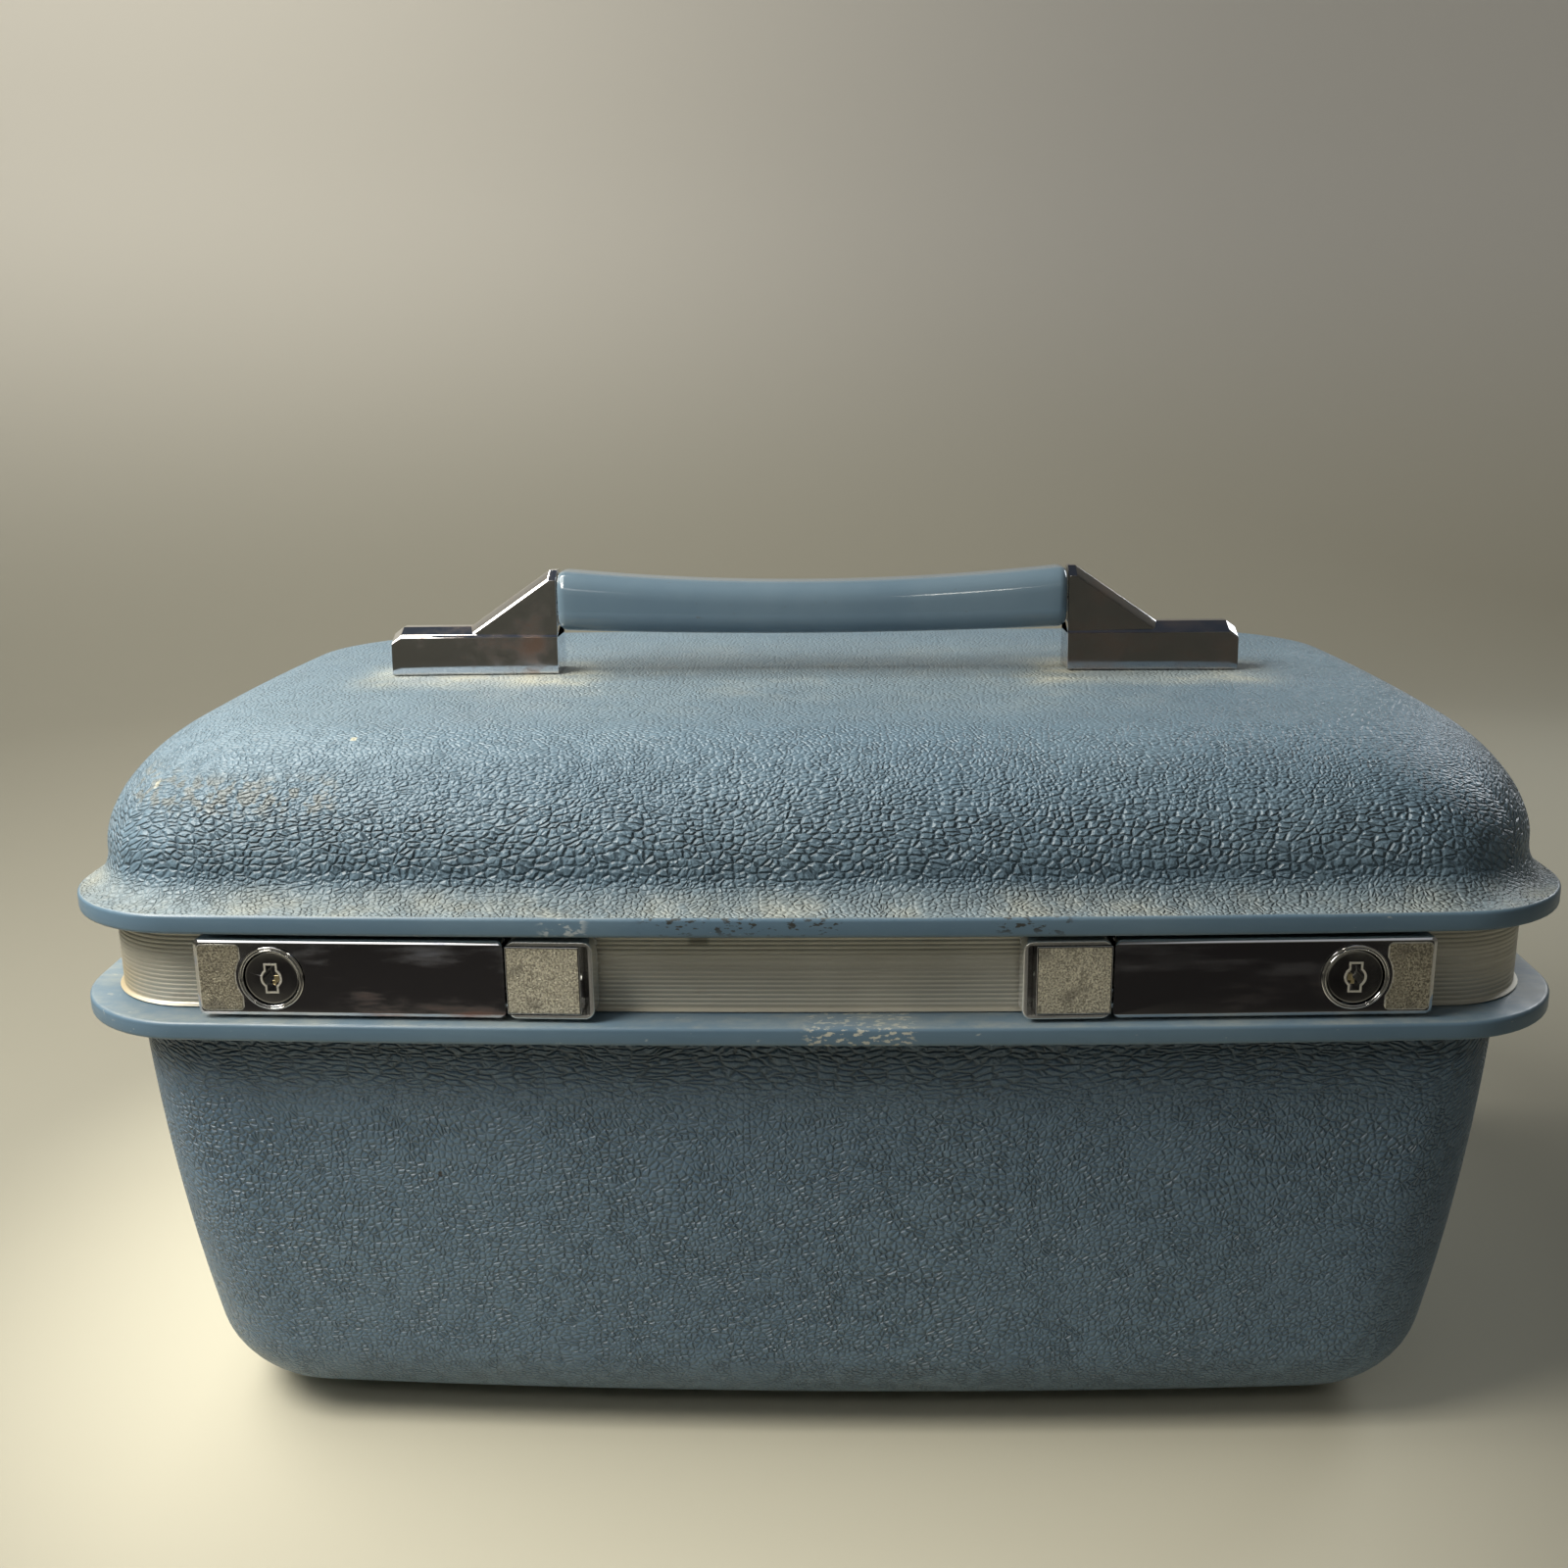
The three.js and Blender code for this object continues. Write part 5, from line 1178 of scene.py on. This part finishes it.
def lid_strip():
    def at(offset, height):
        inset = 2.8 + offset
        return ring(BAND_HALF_WIDTH - inset, BAND_HALF_DEPTH - inset, 24 - offset, height)

    low, high = LID_RIM - 6, LID_RIM + 11
    rings = [
        at(0.2, low), at(0, low + 0.2), at(0, high - 0.2), at(0.2, high),
        at(1.0, high), at(1.2, high - 0.2), at(1.2, low + 0.2), at(1.0, low),
    ]
    rear = box((-180, 78, low - 2), (180, 120, LID_RIM + 0.3))
    piece("strip_lid", loft(rings, True), "lid", steel, ["lid_frame"], cutters=[rear], smooth_angle=50)


lid_strip()

REFINED = {
    "tray": (tray_plastic, 0.6),
    "tray_ledge_left": (tray_plastic, 0.4),
    "tray_ledge_right": (tray_plastic, 0.4),
    "lid_mirror": (mirror_glass, 0.7),
}
for part in ("lower_link", "upper_link", "knee_rivet", "body_stud", "lid_stud"):
    REFINED[f"stay_{part}"] = (steel, 0.2)
for part in ("front_left", "front_right", "rear_left", "rear_right"):
    REFINED[f"foot_{part}"] = (rubber, 0.5)
for _, word in SIDES:
    for part in ("body_leaf", "lid_leaf", "pin", "screw"):
        REFINED[f"hinge_{part}_{word}"] = (steel, 0.2)
    for part in ("a", "b"):
        REFINED[f"hinge_rivet_{word}_{part}"] = (steel, 0.25)
    REFINED[f"striker_{word}"] = (steel, 0.2)
for node_name, (material, bevel) in REFINED.items():
    refined(node_name, material, bevel)


def squeezed_coil(word):
    """The button's coil, between the button and the latch wall, with a mesh of its own."""
    coil = refined(f"button_spring_{word}", steel, 0.0)
    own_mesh(coil)


for coil_side, coil_word in SIDES:
    squeezed_coil(coil_word)

# CAD nodes that no piece replaces are small steel parts
for obj in nodes.values():
    if not obj.hide_render:
        obj.data.materials.clear()
        obj.data.materials.append(steel)


# Stage and light
def make_stage():
    """A round floor that bends up into a wall. In front of the case, out of the picture, the floor has a
    painted dark patch that stands in for dark surroundings for the chrome to reflect; the wall is painted
    lighter on the left as painted light.
    """
    flat, bend, top, sides = 1.0, 0.6, 2.2, 96
    profile = [(flat / 2, 0.0), (flat, 0.0)]
    profile += [(flat + bend * math.sin(a), bend * (1 - math.cos(a))) for a in arc(16)[1:]]
    profile.append((flat + bend, top))
    work = bmesh.new()
    rows = [[work.verts.new((a, b, z)) for a, b in circle(r, 0, 0, sides)] for r, z in profile]
    hub = work.verts.new((0, 0, 0))
    for i in range(sides):
        work.faces.new((hub, rows[0][i], rows[0][(i + 1) % sides]))
        for low, high in zip(rows, rows[1:]):
            work.faces.new((low[i], high[i], high[(i + 1) % sides], low[(i + 1) % sides]))
    for face in work.faces:
        face.smooth = True
    data = written(work, bpy.data.meshes.new("floor"))
    floor = new_object("floor", data)
    s = Shader("floor", (0.6, 0.58, 0.5), 1.0, Specular_IOR_Level=0.0)
    x, y, z = s.axes()
    # Painted dark patch on the floor in front of the case, standing in for dark surroundings that the
    # chrome reflects.
    ahead = s.span(s.math("ABSOLUTE", s.plus(y, 0.455)), 0.05, 0.25, 1.0, 0.0)
    wide = s.span(s.math("ABSOLUTE", x), 0.26, 0.60, 1.0, 0.0)
    dark = s.times(ahead, wide)
    # The wall is painted lighter on the left and darker on the right: painted light.
    wall = s.mix(s.span(x, -0.9, 0.6), (0.64, 0.62, 0.56), (0.375, 0.37, 0.355))
    pale = s.mix(s.span(z, 0.0, 0.5), (0.31, 0.30, 0.25), wall)
    away = s.add("VectorMath", {0: s.coords}, output="Value", operation="LENGTH")
    pale = s.mix(s.span(away, 0.14, 0.30, 1.0, 0.0), pale, (0.64, 0.615, 0.50))
    s.give("Base Color", s.mix(dark, pale, (0.018, 0.017, 0.017)))
    data.materials.append(s.material)


def make_light(name, where, target, size, power, color):
    lamp = bpy.data.lights.new(name, "AREA")
    lamp.shape = "RECTANGLE" if size[0] != size[1] else "DISK"
    lamp.size, lamp.size_y = size
    lamp.energy = power
    lamp.color = color
    obj = new_object(name, lamp)
    obj.location = where
    obj.rotation_euler = (Vector(target) - Vector(where)).to_track_quat("-Z", "Y").to_euler()


make_stage()
make_light("key", (-0.40, -0.01, 0.61), (0, 0, 0.15), (0.52, 0.40), 4.1, (1.0, 0.955, 0.86))
make_light("front", (-0.36, -0.27, 0.50), (0, -0.05, 0.1), (0.26, 0.26), 2.6, (1.0, 0.955, 0.86))
make_light("window", (-0.36, -0.62, 0.56), (-0.09, -0.1, 0.15), (0.50, 0.11), 0.38, (1.0, 0.98, 0.95))
make_light("door", (0.36, -0.62, 0.56), (0.09, -0.1, 0.15), (0.44, 0.11), 0.05, (0.9, 0.95, 1.0))
make_light("glint", (0.075, -0.62, 0.52), (0.05, 0, 0.19), (0.05, 0.035), 0.10, (1.0, 0.96, 0.86))
make_light("fill", (0.75, 0.60, 0.55), (0, 0, 0.1), (0.4, 0.4), 2.2, (0.92, 0.96, 1.0))
make_light("backdrop", (-0.5, 0.35, 1.1), (-0.2, 1.6, 0.5), (0.6, 0.6), 13, (1.0, 0.96, 0.88))
world = bpy.data.worlds.new("world")
scene.world = world
world.use_nodes = True
background = world.node_tree.nodes["Background"].inputs
background["Color"].default_value = (0.62, 0.72, 0.90, 1)
background["Strength"].default_value = 0.09
